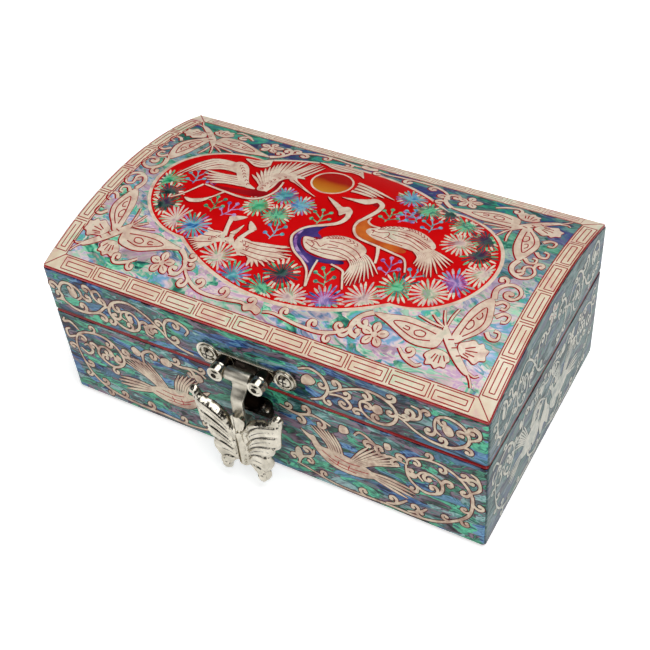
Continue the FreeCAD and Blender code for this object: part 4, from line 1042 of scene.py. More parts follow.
PINES = (
    (-78, -1, 9, "green_shell"), (-72.7, -8, 8, "dark_shell"), (-70, -15, 8, "dark_shell"),
    (-60, -21.4, 9, "rose_shell"), (-51, -21.8, 8.6, "blue_shell"),
    (-31, 0, 8, "green_shell"), (-14, 7.6, 7.6, "blue_shell"), (-24, 11, 7, "blue_shell"),
    (-20, -2, 8, "green_shell"),
    (-31, -33.3, 9.4, "rose_shell"), (-20, -40, 9, "blue_shell"),
    (-0.7, -31.6, 9, "dark_shell"), (-5, -41, 9, "green_shell"), (8, -41.4, 8.6, "rose_shell"),
    (22.7, -37.8, 9, "violet_shell"), (37, -31, 9.4, "rose_shell"), (47, -21, 9.4, "green_shell"),
    (60, -19, 9, "rose_shell"), (67, -10, 9, "violet_shell"), (75, -1, 8.6, "rose_shell"),
    (69, 9, 9, "dark_shell"), (59, 13, 9, "rose_shell"), (68, 20, 8, "dark_shell"),
    (56, 26, 8.6, "green_shell"),
    (46, 32, 8, "dark_shell"), (37, 29.6, 8, "green_shell"), (26, 35.5, 8, "blue_shell"),
)
PINE_LEVELS = 6
PINE_LAYERS = 3
SPRIG_LOOKS = ("blue_shell", "green_shell", "violet_shell")
SPRIGS = [(-67.5, 6, 0.3), (-49, -7, 0.2), (-41, -8, -0.3), (-15.6, -12, 0.1), (17, -27, 0.5),
          (39, -12, 0.2), (50, -14, -0.2), (24, 17.6, 0.1), (31, 19.6, -0.3), (43, 19, 0.3), (-2, 4, 0.2),
          (-58, 8, 0.4), (33, 22, 0.9)]


def picture(sheet):
    nestlings(sheet)
    sheet.group = 1
    for i, burst in enumerate(PINES):
        sheet.level = PINE_LAYERS * (i % PINE_LEVELS)
        pine(sheet, *burst)
    sheet.level = None
    for i, (u, v, turn) in enumerate(SPRIGS):
        sprig(sheet, u, v, SPRIG_LOOKS[i % len(SPRIG_LOOKS)], turn)
    sheet.group = 2
    flying_crane(sheet)
    amber_crane(sheet)
    sheet.group = 3
    dark_crane(sheet)


# Scrolls and birds on the sides

STEM = (0.8, 1.4, 1.3, 0.8)
FINE_STEM = (0.7, 1.2, 1.1, 0.7)
LID_STEMS_LEFT = [
    ([(-102, 59), (-98, 60), (-92, 57), (-86, 57), (-79, 59.5), (-74, 64.5), (-71, 66)], 5),
    ([(-97, 60), (-98.6, 65.6), (-96, 70.6), (-91.6, 72), (-87, 70), (-86, 66.4), (-89, 63.4)], 3),
    ([(-73, 66), (-78, 67.5), (-79.2, 71.4), (-76, 73), (-74.5, 70.5)], 1),
    ([(-42, 60), (-46, 64.5), (-52, 69.5), (-60, 72.6), (-68, 69.8), (-71.6, 63.5), (-68, 57.6), (-62, 55.8),
      (-57, 58.5), (-56, 63.5), (-59, 67), (-64, 66), (-65.4, 62.6), (-62.4, 61)], 8),
    ([(-43, 62), (-47, 64.5), (-52, 62), (-52.5, 58), (-49.5, 56.5)], 1),
    ([(-42, 60), (-42, 67), (-39, 71.5), (-33, 71.6), (-29.5, 69), (-31.5, 65.5)], 3),
    ([(-42, 60), (-36, 56.4), (-29, 55)], 2),
]
LID_STEMS_RIGHT = [
    ([(23.5, 70.5), (29, 73), (34, 71), (36.4, 66), (36, 62), (33, 57.5), (28, 54.8)], 3),
    ([(37, 63), (45, 68.5), (54, 72), (62, 70.5), (66.5, 66), (66, 60), (62, 56), (56, 55.5), (51.5, 59),
      (51, 64), (55, 67)], 8),
    ([(37, 62), (43, 63), (46.5, 59.5), (44, 56.5), (41, 58)], 2),
    ([(66.5, 64), (70, 62), (75, 58.5), (82, 56), (90, 56.5), (96, 61), (97, 66), (94, 71), (88, 73),
      (83.5, 70), (83, 64), (85.5, 61.5)], 8),
    ([(66.5, 65), (72, 64.5), (76.5, 67), (76.5, 71.5), (73, 72.5)], 2),
    ([(97, 64), (101, 67), (101, 71), (98.6, 72.6)], 1),
]
LID_FILLS_LEFT = [
    [(-92.4, 65), (-90, 64), (-88.4, 66), (-89.4, 69), (-92.6, 68)],
    [(-62, 62), (-60.4, 60.6), (-59, 62), (-60, 64.4), (-62, 64.4)],
]
LID_FILLS_RIGHT = [
    [(88, 62.6), (90.6, 64), (90, 67.4), (87.6, 68.6), (86, 66)],
    [(58, 60.4), (60.6, 62), (60, 65.4), (57.4, 65.4), (56, 62.4)],
    [(24.6, 62.6), (29, 63.6), (31, 66.6), (28, 69), (25, 66.6)],
]
BASE_STEMS_LEFT = [
    ([(-97, 25), (-98, 33), (-95, 40), (-88, 43.6), (-80, 44), (-74, 40.6), (-71, 35), (-72, 30), (-77, 26),
      (-82, 27), (-85.6, 31), (-84, 36), (-80, 37.2), (-77, 34.6), (-79, 31.6)], 11),
    ([(-97, 25), (-94, 16), (-88, 9.4), (-80, 6), (-68, 4.6), (-54, 4.6), (-42, 4), (-32, 5.4), (-26, 8)],
     11),
    ([(-71, 35), (-65, 36.6), (-58, 36)], 2),
    ([(-59, 37), (-58.4, 43), (-53.4, 46.4), (-49, 44)], 2),
    ([(-43, 44.6), (-38, 43.6), (-30, 45), (-25, 42)], 3),
    ([(-96, 31), (-92, 28.6), (-89, 31.6), (-91, 34.8), (-93.4, 33.4)], 0),
    ([(-97, 38), (-101.4, 36), (-102, 40), (-99.4, 42)], 0),
    ([(-94, 42.6), (-98, 46.4), (-102, 45.4), (-101, 48)], 0),
]
BASE_STEMS_RIGHT = [
    ([(70, 36), (70.5, 30), (73, 25.5), (79, 22.5), (85, 25.5), (86, 31), (83, 34.5), (78, 35), (75.5, 32),
      (77.5, 29)], 6),
    ([(70.5, 36), (71.5, 40), (78, 43.5), (86, 43.5), (94, 39), (98.5, 32), (99, 24), (97, 17), (91, 10.5),
      (84, 6), (75, 3.8), (60, 4), (45, 3.4), (35, 4), (24, 7), (17, 9)], 17),
    ([(70, 36), (64, 37), (58, 36), (56, 41), (50, 45), (47, 42)], 4),
    ([(60, 5), (65, 7), (70, 12)], 1),
    ([(70, 5), (75, 7), (79, 11.5)], 1),
    ([(98.6, 33), (102, 37), (101, 43), (98, 45)], 1),
    ([(18, 9), (20, 14), (25, 17), (26.6, 22)], 3),
    ([(12, 44), (20, 42), (28, 44.6), (36, 42)], 4),
]
BASE_FILLS_LEFT = [
    [(-48, 41), (-44.6, 40.6), (-42.6, 43), (-45, 45.6), (-48.6, 44)],
    [(-63, 41), (-60.6, 40.4), (-60, 43.4), (-62.6, 45.4), (-64.6, 43.4)],
    [(-30, 37.6), (-27, 39.4), (-28, 42.4), (-31.6, 41.4)],
]
BASE_FILLS_RIGHT = [
    [(40, 41), (42, 40.4), (44.4, 42), (43.6, 45), (40.6, 45)],
    [(61, 40.6), (63.4, 41.4), (63, 44.4), (60.6, 44)],
    [(17, 13), (19, 12), (20.4, 16), (19, 20), (17, 18)],
]
BIRD_FILLS = [
    [(-60, 19.4), (-54, 16.2), (-46, 14.8), (-38, 16.4), (-33, 20.6), (-30, 25.6), (-29.4, 29),
     (-31.6, 29.6), (-34, 26.4), (-40, 26.6), (-50, 25), (-57, 22.4)],
    [(-31.6, 28.4), (-29, 28), (-24.4, 33.4), (-28.6, 31.6), (-31, 31.6)],
]
BIRD_FANS = [
    ([(-44, 25), (-41, 25), (-38, 26)], [(-43, 31), (-39, 32), (-36, 31)],
     [(-40, 37.6), (-34, 39.4), (-29.6, 38)], 6),
    ([(-54, 23.6), (-51, 24.6), (-48, 25)], [(-60, 28), (-57.4, 30.4), (-52, 31.4)],
     [(-71, 33), (-66, 37.6), (-57, 38)], 8),
    ([(-58, 18.6), (-57.4, 20), (-57, 21.6)], [(-66, 16), (-67, 18.8), (-66, 22)],
     [(-74, 13.6), (-78, 17), (-76, 20.6)], 4),
]
BIRD_LINES = [
    [(-56, 20), (-48, 19), (-40, 20), (-34, 24)], [(-52, 22.6), (-46, 22), (-40, 23.4)],
    [(-50, 17), (-42, 17.4), (-37, 20)],
    [(-47, 20.6), (-46, 17)], [(-42, 21), (-41, 17.6)],
]
CENTRE_FILLS = [
    [(-4, 10), (0, 14), (4, 10), (6, 18), (2, 24), (0, 30), (-2, 24), (-6, 18)],
    [(-12, 12), (-7, 16), (-6, 22), (-11, 20), (-14, 16)],
    [(12, 12), (7, 16), (6, 22), (11, 20), (14, 16)],
]
CENTRE_PAIRS = (
    ([(2, 8), (9, 6), (16, 9), (19, 15), (16, 19), (13, 17)], 3),
    ([(1, 30), (7, 35), (13, 34), (13, 29), (9, 29)], 2),
)
CENTRE_STEMS = [([(side * u, v) for u, v in points], curls)
                for points, curls in CENTRE_PAIRS for side in (-1, 1)]
CENTRE_STEMS.append(([(-14, 38), (-8, 43), (0, 40), (8, 43), (14, 38)], 4))
FRONT_MID = -3.5
BACK_FLOWER_Z, BACK_FLOWER_R = 65.0, 6.5
END_FLOWER_Z, END_FLOWER_R = 79.0, 5.0
END_EDGE_W = 0.24
END_CURL_SIZE = 2.0
END_SHARE = 0.70
END_FROM_SHARE, END_TO_SHARE = 0.61, 0.49
LID_STRETCH = 1.25


def moved(move, mirror=None):
    """A move along the face, or the mirror image about half the mirror value."""
    def turn(u, v):
        return ((mirror - u - move) if mirror is not None else u + move, v)
    return turn


def stems_of(stems, widths=STEM):
    return [(widths, points, curls) for points, curls in stems]


def bird(sheet, turn):
    for roots, mids, tips, count in BIRD_FANS:
        sheet.fan(*[[turn(*p) for p in row] for row in (roots, mids, tips)], count)
    drawing(sheet, turn, BIRD_FILLS, lines=BIRD_LINES if sheet.edge_look == "side_edge_shaded" else ())


def side_sheets(name, pearl, edge="side_edge_shaded", edge_w=SIDE_EDGE_W):
    """The sheets of one side, on the lid and on the base."""
    return [Sheet(f"{body}_{name}", name, body, pearl, edge, edge_w) for body in ("lid", "base")]


def front_face():
    lid, base = side_sheets("front", "side_pearl_shaded")
    drawing(lid, moved(0), LID_FILLS_LEFT + LID_FILLS_RIGHT, stems_of(LID_STEMS_LEFT + LID_STEMS_RIGHT))
    drawing(base, moved(0), BASE_FILLS_LEFT + BASE_FILLS_RIGHT, stems_of(BASE_STEMS_LEFT + BASE_STEMS_RIGHT))
    bird(base, moved(0))
    bird(base, moved(0, FRONT_MID))
    lid.build()
    base.build()


def back_face():
    lid, base = side_sheets("back", "side_pearl_shaded")
    for mirror in (None, FRONT_MID):
        drawing(lid, moved(0, mirror), LID_FILLS_LEFT, stems_of(LID_STEMS_LEFT))
        drawing(base, moved(0, mirror), BASE_FILLS_LEFT, stems_of(BASE_STEMS_LEFT))
        bird(base, moved(0, mirror))
    drawing(base, moved(FRONT_MID / 2), CENTRE_FILLS, stems_of(CENTRE_STEMS))
    flower(lid, FRONT_MID / 2, BACK_FLOWER_Z, BACK_FLOWER_R, math.pi / 2)
    lid.build()
    base.build()


def on_end(way, stretch):
    """The pattern of the left half of the front, drawn narrower on one half of an end."""
    mid = -END_FROM_SHARE * HALF_W

    def turn(u, v):
        return (way * ((u - mid) * END_SHARE - END_TO_SHARE * HALF_D), PARTING_Z + (v - PARTING_Z) * stretch)
    return turn


def end_face(name):
    lid, base = side_sheets(name, "end_pearl_painted_reflection", "end_edge_shaded", END_EDGE_W)
    for way in (-1, 1):
        for sheet, fills, stems, stretch in ((lid, LID_FILLS_LEFT, LID_STEMS_LEFT, LID_STRETCH),
                                             (base, BASE_FILLS_LEFT, BASE_STEMS_LEFT, 1.0)):
            fine = stems_of(stems, FINE_STEM)
            drawing(sheet, on_end(way, stretch), fills, fine, size=END_CURL_SIZE)
        bird(base, on_end(way, 1.0))
    flower(lid, 0, END_FLOWER_Z, END_FLOWER_R, math.pi / 2)
    drawing(base, moved(0), CENTRE_FILLS, stems_of(CENTRE_STEMS, FINE_STEM), size=END_CURL_SIZE)
    lid.build()
    base.build()


top = Sheet("top", "top", "lid", shift=EDGE_SHADOW_SHIFT)
fret_border(top)
dress_corners(top)
picture(top)
top.build()
front_face()
back_face()
end_face("right")
end_face("left")


# The butterfly of the clasp, cast in relief

WING_ARCS = (
    ((0, 0.63), (0.11, 0.67), (0.20, 0.74)), ((0.20, 0.74), (0.38, 0.845), (0.62, 0.885)),
    ((0.62, 0.885), (0.72, 0.91), (0.80, 0.965)), ((0.80, 0.965), (0.92, 1.0), (1.0, 0.92)),
    ((1.0, 0.92), (0.93, 0.76), (0.90, 0.60)), ((0.90, 0.60), (0.83, 0.545), (0.74, 0.525)),
    ((0.74, 0.525), (0.72, 0.45), (0.62, 0.40)), ((0.62, 0.40), (0.665, 0.29), (0.53, 0.17)),
    ((0.53, 0.17), (0.54, 0.06), (0.35, 0.0)), ((0.35, 0.0), (0.26, 0.11), (0.11, 0.19)),
    ((0.11, 0.19), (0.07, 0.13), (0.0, 0.11)),
)
FLUTES = (
    ((0.15, 0.57), (0.40, 0.76), (0.84, 0.86)), ((0.14, 0.46), (0.42, 0.635), (0.82, 0.72)),
    ((0.14, 0.37), (0.40, 0.51), (0.74, 0.57)), ((0.14, 0.28), (0.32, 0.375), (0.56, 0.40)),
    ((0.20, 0.21), (0.32, 0.22), (0.45, 0.15)),
)
EYES = ((0.89, 0.875), (0.865, 0.73), (0.785, 0.585), (0.60, 0.405))
WING_HALF = (wing_high.x - wing_low.x) / 2
WING_H = wing_high.z - wing_low.z
BODY_T = wing_high.y - wing_low.y
BODY_HALF = 2.0
BODY_SHARES = (0.13, 0.68)
EDGE_T = 1.5
DOME = 1.5
DOME_SHARE = 0.44
FLUTE_DEPTH = 1.0
FLUTE_HALF = 0.46
FLUTE_SHADE = 0.3
RIB_DEPTH = 0.4
RIB_HALF = 0.34
RIB_SHADE = 0.2
SHADE_LIFT = 0.04
SHADE_START = 0.3
ROLLED_EDGE = 1.0
ROLLED_IN = 0.9
ROLLED_HALF = 0.7
RIM_GROOVE_IN = 1.4
RIM_FALL_W = 0.9
RIM_SHARE = 0.45
BEAD_STEP = 1.9
BEAD_SHARE = 0.15
BEAD_SLANT = 0.4
BODY_RING = 0.12
BODY_RING_STEP = 2.2
BODY_SIDE_SHARE, BODY_CROWN_SHARE = 0.55, 0.42
EYE_R = 0.55
EYE_DEPTH = 0.5
EYE_LIFT = 0.02
HEAD_FALL_SHARE = 0.45
HEAD_GROOVE = 0.5
HEAD_GROOVE_SHARES = (0.45, 0.12)
JAW_SHARE = 0.8
HEAD_SHARES = (0.60, 0.765, 0.83)
HEAD_HALF = 3.6
HEAD_T = 2.8
JAW_STEPS, BROW_STEPS = 8, 12
WING_ARC_STEPS, FLUTE_STEPS = 9, 10
UPPER_ARCS = 4
SMOOTH_ANGLE, BALL_SMOOTH_ANGLE = 50, 70
GRID = 0.5


def on_wing(share):
    return (share[0] * WING_HALF, share[1] * WING_H)


def gap_to(s, t, line):
    """The distance of a point from a line of short stretches."""
    nearest = math.inf
    for (a, b), (c, d) in zip(line, line[1:]):
        along, across = c - a, d - b
        share = ((s - a) * along + (t - b) * across) / (along ** 2 + across ** 2)
        share = min(max(share, 0.0), 1.0)
        nearest = min(nearest, math.hypot(s - a - share * along, t - b - share * across))
    return nearest


def arc_line(shares, count):
    return arc_through(*[on_wing(share) for share in shares], count) + [on_wing(shares[-1])]


def edge_line(arcs):
    return [point for shares in arcs for point in arc_line(shares, WING_ARC_STEPS)[:-1]]


WING_RIM = edge_line(WING_ARCS) + [on_wing(WING_ARCS[-1][-1])]
UPPER_EDGE = edge_line(WING_ARCS[:UPPER_ARCS])
FLUTE_LINES = [arc_line(shares, FLUTE_STEPS) for shares in FLUTES]
RIB_LINES = []
for upper, lower in zip(FLUTE_LINES, FLUTE_LINES[1:]):
    RIB_LINES.append([((a + c) / 2, (b + d) / 2) for (a, b), (c, d) in zip(upper, lower)])
TAIL_KNOB_SHARES = (0.40, 0.075)
TAIL_KNOB_R = 2.3
TAIL_KNOB_RISE = 0.9


def smooth(value):
    value = min(max(value, 0.0), 1.0)
    return value * value * (3 - 2 * value)


def wing_height(s, t):
    """How far the casting stands out from its back, at a place on one wing."""
    dome = 1 - ((s / WING_HALF - DOME_SHARE) / (1 - DOME_SHARE)) ** 2
    height = EDGE_T + DOME * max(dome, 0.0)
    for line in FLUTE_LINES:
        height -= FLUTE_DEPTH * math.exp(-(gap_to(s, t, line) / FLUTE_HALF) ** 2)
    for line in RIB_LINES:
        height -= RIB_DEPTH * math.exp(-(gap_to(s, t, line) / RIB_HALF) ** 2)
    edge = gap_to(s, t, WING_RIM)
    height -= RIB_DEPTH * math.exp(-((edge - RIM_GROOVE_IN) / RIB_HALF) ** 2)
    knob = math.dist((s, t), on_wing(TAIL_KNOB_SHARES)) / TAIL_KNOB_R
    if knob < 1:
        height += TAIL_KNOB_RISE * math.sqrt(1 - knob ** 2)
    bead = 1 - BEAD_SHARE + BEAD_SHARE * math.cos(2 * math.pi * (s + BEAD_SLANT * t) / BEAD_STEP)
    height += ROLLED_EDGE * bead * math.exp(-((gap_to(s, t, UPPER_EDGE) - ROLLED_IN) / ROLLED_HALF) ** 2)
    height *= RIM_SHARE + (1 - RIM_SHARE) * smooth(edge / RIM_FALL_W)
    share = (t / WING_H - BODY_SHARES[0]) / (BODY_SHARES[1] - BODY_SHARES[0])
    half = BODY_HALF * math.sin(math.pi * min(max(share, 0.0), 1.0))
    if s < half:
        ring = BODY_RING * math.cos(2 * math.pi * t / BODY_RING_STEP)
        crown = BODY_CROWN_SHARE * math.sqrt(1 - (s / half) ** 2)
        height = max(height, BODY_T * (BODY_SIDE_SHARE + crown) + ring)
    return min(height, BODY_T)


def head_height(s, t):
    share = abs(s) / HEAD_HALF
    place, half = HEAD_GROOVE_SHARES
    groove = HEAD_GROOVE * math.exp(-((share - place) / half) ** 2)
    return HEAD_T * (1 - HEAD_FALL_SHARE * share ** 2) - groove


def relief(mesh, outline, height, sides):
    """A cast plate: the outline filled with a fine grid and raised by the height."""
    low = [min(p[i] for p in outline) for i in (0, 1)]
    high = [max(p[i] for p in outline) for i in (0, 1)]
    points = [Vector(p) for p in outline]
    for i in range(1, int((high[0] - low[0]) / GRID) + 1):
        for k in range(1, int((high[1] - low[1]) / GRID) + 1):
            s, t = low[0] + GRID * (i - 0.5 * (k % 2)), low[1] + GRID * k
            if gap_to(s, t, outline + outline[:1]) > 0.5 * GRID:
                points.append(Vector((s, t)))
    flat, _, faces, *_ = delaunay_2d_cdt(points, [], [list(range(len(outline)))], 1, 0.0001)
    count = {}
    for face in faces:
        for a, b in zip(face, face[1:] + face[:1]):
            count[frozenset((a, b))] = count.get(frozenset((a, b)), 0) + 1
    rim = [tuple(pair) for pair, uses in count.items() if uses == 1]
    for side in sides:
        front, back = [], []
        for p in flat:
            x, z = CLASP_X + side * p.x, wing_low.z + p.y
            front.append(mesh.verts.new((x, wing_high.y - height(p.x, p.y), z)))
            back.append(mesh.verts.new((x, wing_high.y, z)))
        for face in faces:
            mesh.faces.new([front[i] for i in face])
            mesh.faces.new([back[i] for i in reversed(face)])
        for a, b in rim:
            if flat[a].x > 0.001 or flat[b].x > 0.001 or len(sides) == 1:
                mesh.faces.new((front[a], front[b], back[b], back[a]))


def shade_smooth(piece, angle):
    piece.data.polygons.foreach_set("use_smooth", [True] * len(piece.data.polygons))
    piece.data.set_sharp_from_angle(angle=math.radians(angle))


def cast_butterfly():
    mesh = bmesh.new()
    relief(mesh, WING_RIM, wing_height, (-1, 1))
    chin, cheek, brow = [share * WING_H for share in HEAD_SHARES]
    jaw = (JAW_SHARE * HEAD_HALF, (chin + cheek) / 2)
    right = arc_through((0, chin), jaw, (HEAD_HALF, cheek), JAW_STEPS)
    over = arc_through((HEAD_HALF, cheek), (0, brow), (-HEAD_HALF, cheek), BROW_STEPS)
    left = arc_through((-HEAD_HALF, cheek), (-jaw[0], jaw[1]), (0, chin), JAW_STEPS)
    relief(mesh, right + over + left, head_height, (1,))
    bmesh.ops.remove_doubles(mesh, verts=mesh.verts[:], dist=0.001)
    bmesh.ops.recalc_face_normals(mesh, faces=mesh.faces[:])
    piece = place_piece("cast_butterfly", mesh, "nickel", "clasp")
    shade_smooth(piece, SMOOTH_ANGLE)
    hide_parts("clasp_butterfly")


def join_rings(mesh, rings):
    """Faces between rings of as many points each."""
    for one, two in zip(rings, rings[1:]):
        for i in range(len(one)):
            k = (i + 1) % len(one)
            mesh.faces.new((one[i], one[k], two[k], two[i]))


def round_ring(mesh, x, y, z, radius, sides):
    """A ring of points round an axis along y."""
    places = [polar(x, z, radius, 2 * math.pi * i / sides) for i in range(sides)]
    return [mesh.verts.new((u, y, v)) for u, v in places]


def stud(mesh, x, y, z, radius, depth, sides=12):
    """A short round stud along y, its front face at y."""
    front, back = [round_ring(mesh, x, at, z, radius, sides) for at in (y, y + depth)]
    mesh.faces.new(front)
    join_rings(mesh, (back, front))


def bar(mesh, low, high):
    """A box between two corners."""
    verts = [mesh.verts.new(corner) for corner in product(*zip(low, high))]
    for loop in ((0, 1, 3, 2), (4, 6, 7, 5), (0, 4, 5, 1), (2, 3, 7, 6), (0, 2, 6, 4), (1, 5, 7, 3)):
        mesh.faces.new([verts[i] for i in loop])


def wing_eyes():
    mesh = bmesh.new()
    for share in EYES:
        s, t = on_wing(share)
        for side in (-1, 1):
            out = wing_high.y - wing_height(s, t) - EYE_LIFT
            # Painted shade: a dark stud for each eye of the wings
            stud(mesh, CLASP_X + side * s, out, wing_low.z + t, EYE_R, EYE_DEPTH)
    place_piece("wing_eyes", mesh, "recess", "clasp")


def flute_shadows():
    """The darkened bottoms of the flutes."""
    mesh = bmesh.new()
    shades = [(line, FLUTE_SHADE) for line in FLUTE_LINES] + [(line, RIB_SHADE) for line in RIB_LINES]
    for line, half in shades:
        for side in (-1, 1):
            pairs = []
            for i, (s, t) in enumerate(line):
                before, after = line[max(i - 1, 0)], line[min(i + 1, len(line) - 1)]
                along = Vector((after[0] - before[0], after[1] - before[1])).normalized()
                reach = half * math.sin(math.pi * (i + SHADE_START) / (len(line) - 1 + 2 * SHADE_START))
                pair = []
                for way in (-reach, reach):
                    a, b = s - way * along.y, t + way * along.x
                    out = wing_high.y - wing_height(a, b) - SHADE_LIFT
                    pair.append(mesh.verts.new((CLASP_X + side * a, out, wing_low.z + b)))
                pairs.append(pair)
            for (a, b), (c, d) in zip(pairs, pairs[1:]):
                mesh.faces.new((a, b, d, c))
    place_piece("flute_shadows", mesh, "recess", "clasp")


LUG_R = 3.75
LUG_HOLE_R = 1.3
LUG_SPACING = 19.3
LUG_Z = (pin_low.z + pin_high.z) / 2
LUG_STEPS = 9
LUG_SIDES = 28
BALL_SHARE = 0.75
BALL_BACK_SHARE = 0.95
HOLE_END_SHARES = (0.9, 0.3)
HOLE_LIFT, HOLE_DEPTH, HOLE_SIDES = 0.1, 0.6, 16
COLLAR_SHARES = (1.15, 0.98, 1.1)


def lug_profile():
    """Radius and depth behind the tip, from the back of the ball to inside its hole."""
    start = math.asin(LUG_HOLE_R / LUG_R)
    ball = []
    for i in range(LUG_STEPS + 1):
        a = math.pi / 2 + (start - math.pi / 2) * i / LUG_STEPS
        ball.append((LUG_R * math.sin(a), BALL_SHARE * LUG_R - LUG_R * math.cos(a)))
    hole_end = (HOLE_END_SHARES[0] * LUG_HOLE_R, HOLE_END_SHARES[1] * LUG_R)
    return [(LUG_R, BALL_BACK_SHARE * LUG_R)] + ball + [hole_end]


def lug_caps():
    """The ball ends of the two lugs, each with a dark disc of painted shade in its hole and a dark collar of
    painted shade behind.
    """
    caps, hole_shade, collar_shade = bmesh.new(), bmesh.new(), bmesh.new()
    tip = plate_low.y
    setback, collar_r, collar_depth = [share * LUG_R for share in COLLAR_SHARES]
    for side in (-1, 1):
        x = CLASP_X + side * LUG_SPACING / 2
        profile = lug_profile()
        join_rings(caps, [round_ring(caps, x, tip + depth, LUG_Z, r, LUG_SIDES) for r, depth in profile])
        # Painted shade: a dark disc in each hole and a dark collar behind each ball
        stud(hole_shade, x, tip - HOLE_LIFT, LUG_Z, LUG_HOLE_R, HOLE_DEPTH, HOLE_SIDES)
        stud(collar_shade, x, tip + setback, LUG_Z, collar_r, collar_depth, LUG_SIDES)
    bmesh.ops.recalc_face_normals(caps, faces=caps.faces[:])
    shade_smooth(place_piece("lug_caps", caps, "nickel", "lid"), BALL_SMOOTH_ANGLE)
    place_piece("lug_hole_shade", hole_shade, "recess", "lid")
    shade_smooth(place_piece("lug_collar_shade", collar_shade, "nickel_painted_shade", "lid"), SMOOTH_ANGLE)


# Spacing of the screws, reach and half width of their crosses, and the body that they ride on
SCREW_CROSSES = {"latch_screws": (37.0, 1.7, 0.32, "lid"), "catch_screws": (13.6, 1.1, 0.22, "base")}
CROSS_LIFT = 0.02
CROSS_DEPTH = 0.4


def screw_crosses():
    """The cross recess of each pan-head screw, drawn as dark bars of painted shade."""
    for node, (spacing, reach, half, body) in SCREW_CROSSES.items():
        low, high = box_mm(node)
        mid_z = (low.z + high.z) / 2
        mesh = bmesh.new()
        for x in (CLASP_X - spacing / 2, CLASP_X + spacing / 2):
            for wide, tall in ((reach, half), (half, reach)):
                corner = (x - wide, low.y - CROSS_LIFT, mid_z - tall)
                bar(mesh, corner, (x + wide, low.y + CROSS_DEPTH, mid_z + tall))
        place_piece(f"{node}_crosses", mesh, "recess", body)


def tube(mesh, points, radius, sides=8):
    """A round wire through the points."""
    rings = []
    for i, point in enumerate(points):
        along = (points[min(i + 1, len(points) - 1)] - points[max(i - 1, 0)]).normalized()
        first = along.cross(Vector((0, 1, 0))).normalized()
        second = along.cross(first)
        angles = [2 * math.pi * k / sides for k in range(sides)]
        ring = [point + radius * (math.cos(a) * first + math.sin(a) * second) for a in angles]
        rings.append([mesh.verts.new(place) for place in ring])
    join_rings(mesh, rings)
    mesh.faces.new(rings[0])
    mesh.faces.new(list(reversed(rings[-1])))


PLATE_T = 1.2
PLATE_FACE = -HALF_D - PLATE_T
SCROLL_R = 4.7
SCROLL_WIRE = 0.6
SCROLL_LIFT = 0.25
SCROLL_STEPS = 46
SCROLL_TURN, SCROLL_START, SCROLL_SHRINK = 0.16, 1.9, 0.022
BAND_HALF = 3.0
BAND_REACH = 13.4
BAND_WIRE = 0.45
# Size and place of the dark patch of painted shadow on the latch plate
SHADOW_PATCH_HALF = 5.8
SHADOW_PATCH_SHARE = 0.8
SHADOW_PATCH_LIFT, SHADOW_PATCH_DEPTH = 0.1, 0.4


def plate_scrolls():
    """The scrolled ends and the raised edges of the latch plate, and a dark patch of painted shadow between
    the lugs.
    """
    mid_z = (plate_low.z + plate_high.z) / 2
    mesh = bmesh.new()
    for side in (-1, 1):
        x = CLASP_X + side * SCREW_CROSSES["latch_screws"][0] / 2
        turns = []
        for i in range(SCROLL_STEPS):
            u, v = polar(0, 0, SCROLL_R - SCROLL_SHRINK * i, SCROLL_TURN * i - SCROLL_START)
            turns.append(Vector((x - side * u, PLATE_FACE - SCROLL_LIFT, mid_z + v)))
        tube(mesh, turns, SCROLL_WIRE)
        for edge in (-1, 1):
            reach = (CLASP_X, CLASP_X + side * BAND_REACH)
            tube(mesh, [Vector((u, PLATE_FACE, mid_z + edge * BAND_HALF)) for u in reach], BAND_WIRE)
    # Painted shadow: a dark patch on the plate between the lugs
    panel = bmesh.new()
    rise = SHADOW_PATCH_SHARE * BAND_HALF
    low = (CLASP_X - SHADOW_PATCH_HALF, PLATE_FACE - SHADOW_PATCH_LIFT, mid_z - rise)
    bar(panel, low, (CLASP_X + SHADOW_PATCH_HALF, PLATE_FACE + SHADOW_PATCH_DEPTH, mid_z + rise))
    place_piece("plate_painted_shadow", panel, "nickel_painted_shade", "lid")
    bmesh.ops.recalc_face_normals(mesh, faces=mesh.faces[:])
    shade_smooth(place_piece("plate_scrolls", mesh, "nickel", "lid"), SMOOTH_ANGLE)


ROUND_W = 0.25
WELD_GAP = 0.01
ROUND_ANGLE = math.radians(40)


def soften(names):
    """Small rounds on the edges of the metal pieces."""
    for name in names:
        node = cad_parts[name]
        weld = node.modifiers.new("weld", "WELD")
        weld.merge_threshold = WELD_GAP * MM
        bevel = node.modifiers.new("rounds", "BEVEL")
        bevel.width = ROUND_W * MM
        bevel.segments = 2
        bevel.limit_method = "ANGLE"
        bevel.angle_limit = ROUND_ANGLE


cast_butterfly()
wing_eyes()
flute_shadows()
lug_caps()
screw_crosses()
plate_scrolls()
soften(["latch_plate", "catch_plate", "clasp_tongue"])


# Ring rolls, swollen by simulation

ROLLS = 5
ROLL_SECTION_SHARES = ((0.72, 0.0), (0.86, 0.12), (0.90, 0.36), (0.88, 0.62), (0.72, 0.85), (0.40, 0.95),
                       (0.0, 0.97))
ROLL_STEPS = 24
ROLL_SLOPE = 4.0
ROLL_VOXEL = 1.6
ROLL_SWELL = 1.3
ROLL_END_ROOM = 1.0
ROLL_ROOM = 0.05
ROLL_PRESSURE = 4
SIM_SCALE = 0.01
SIM_FRAMES = 20


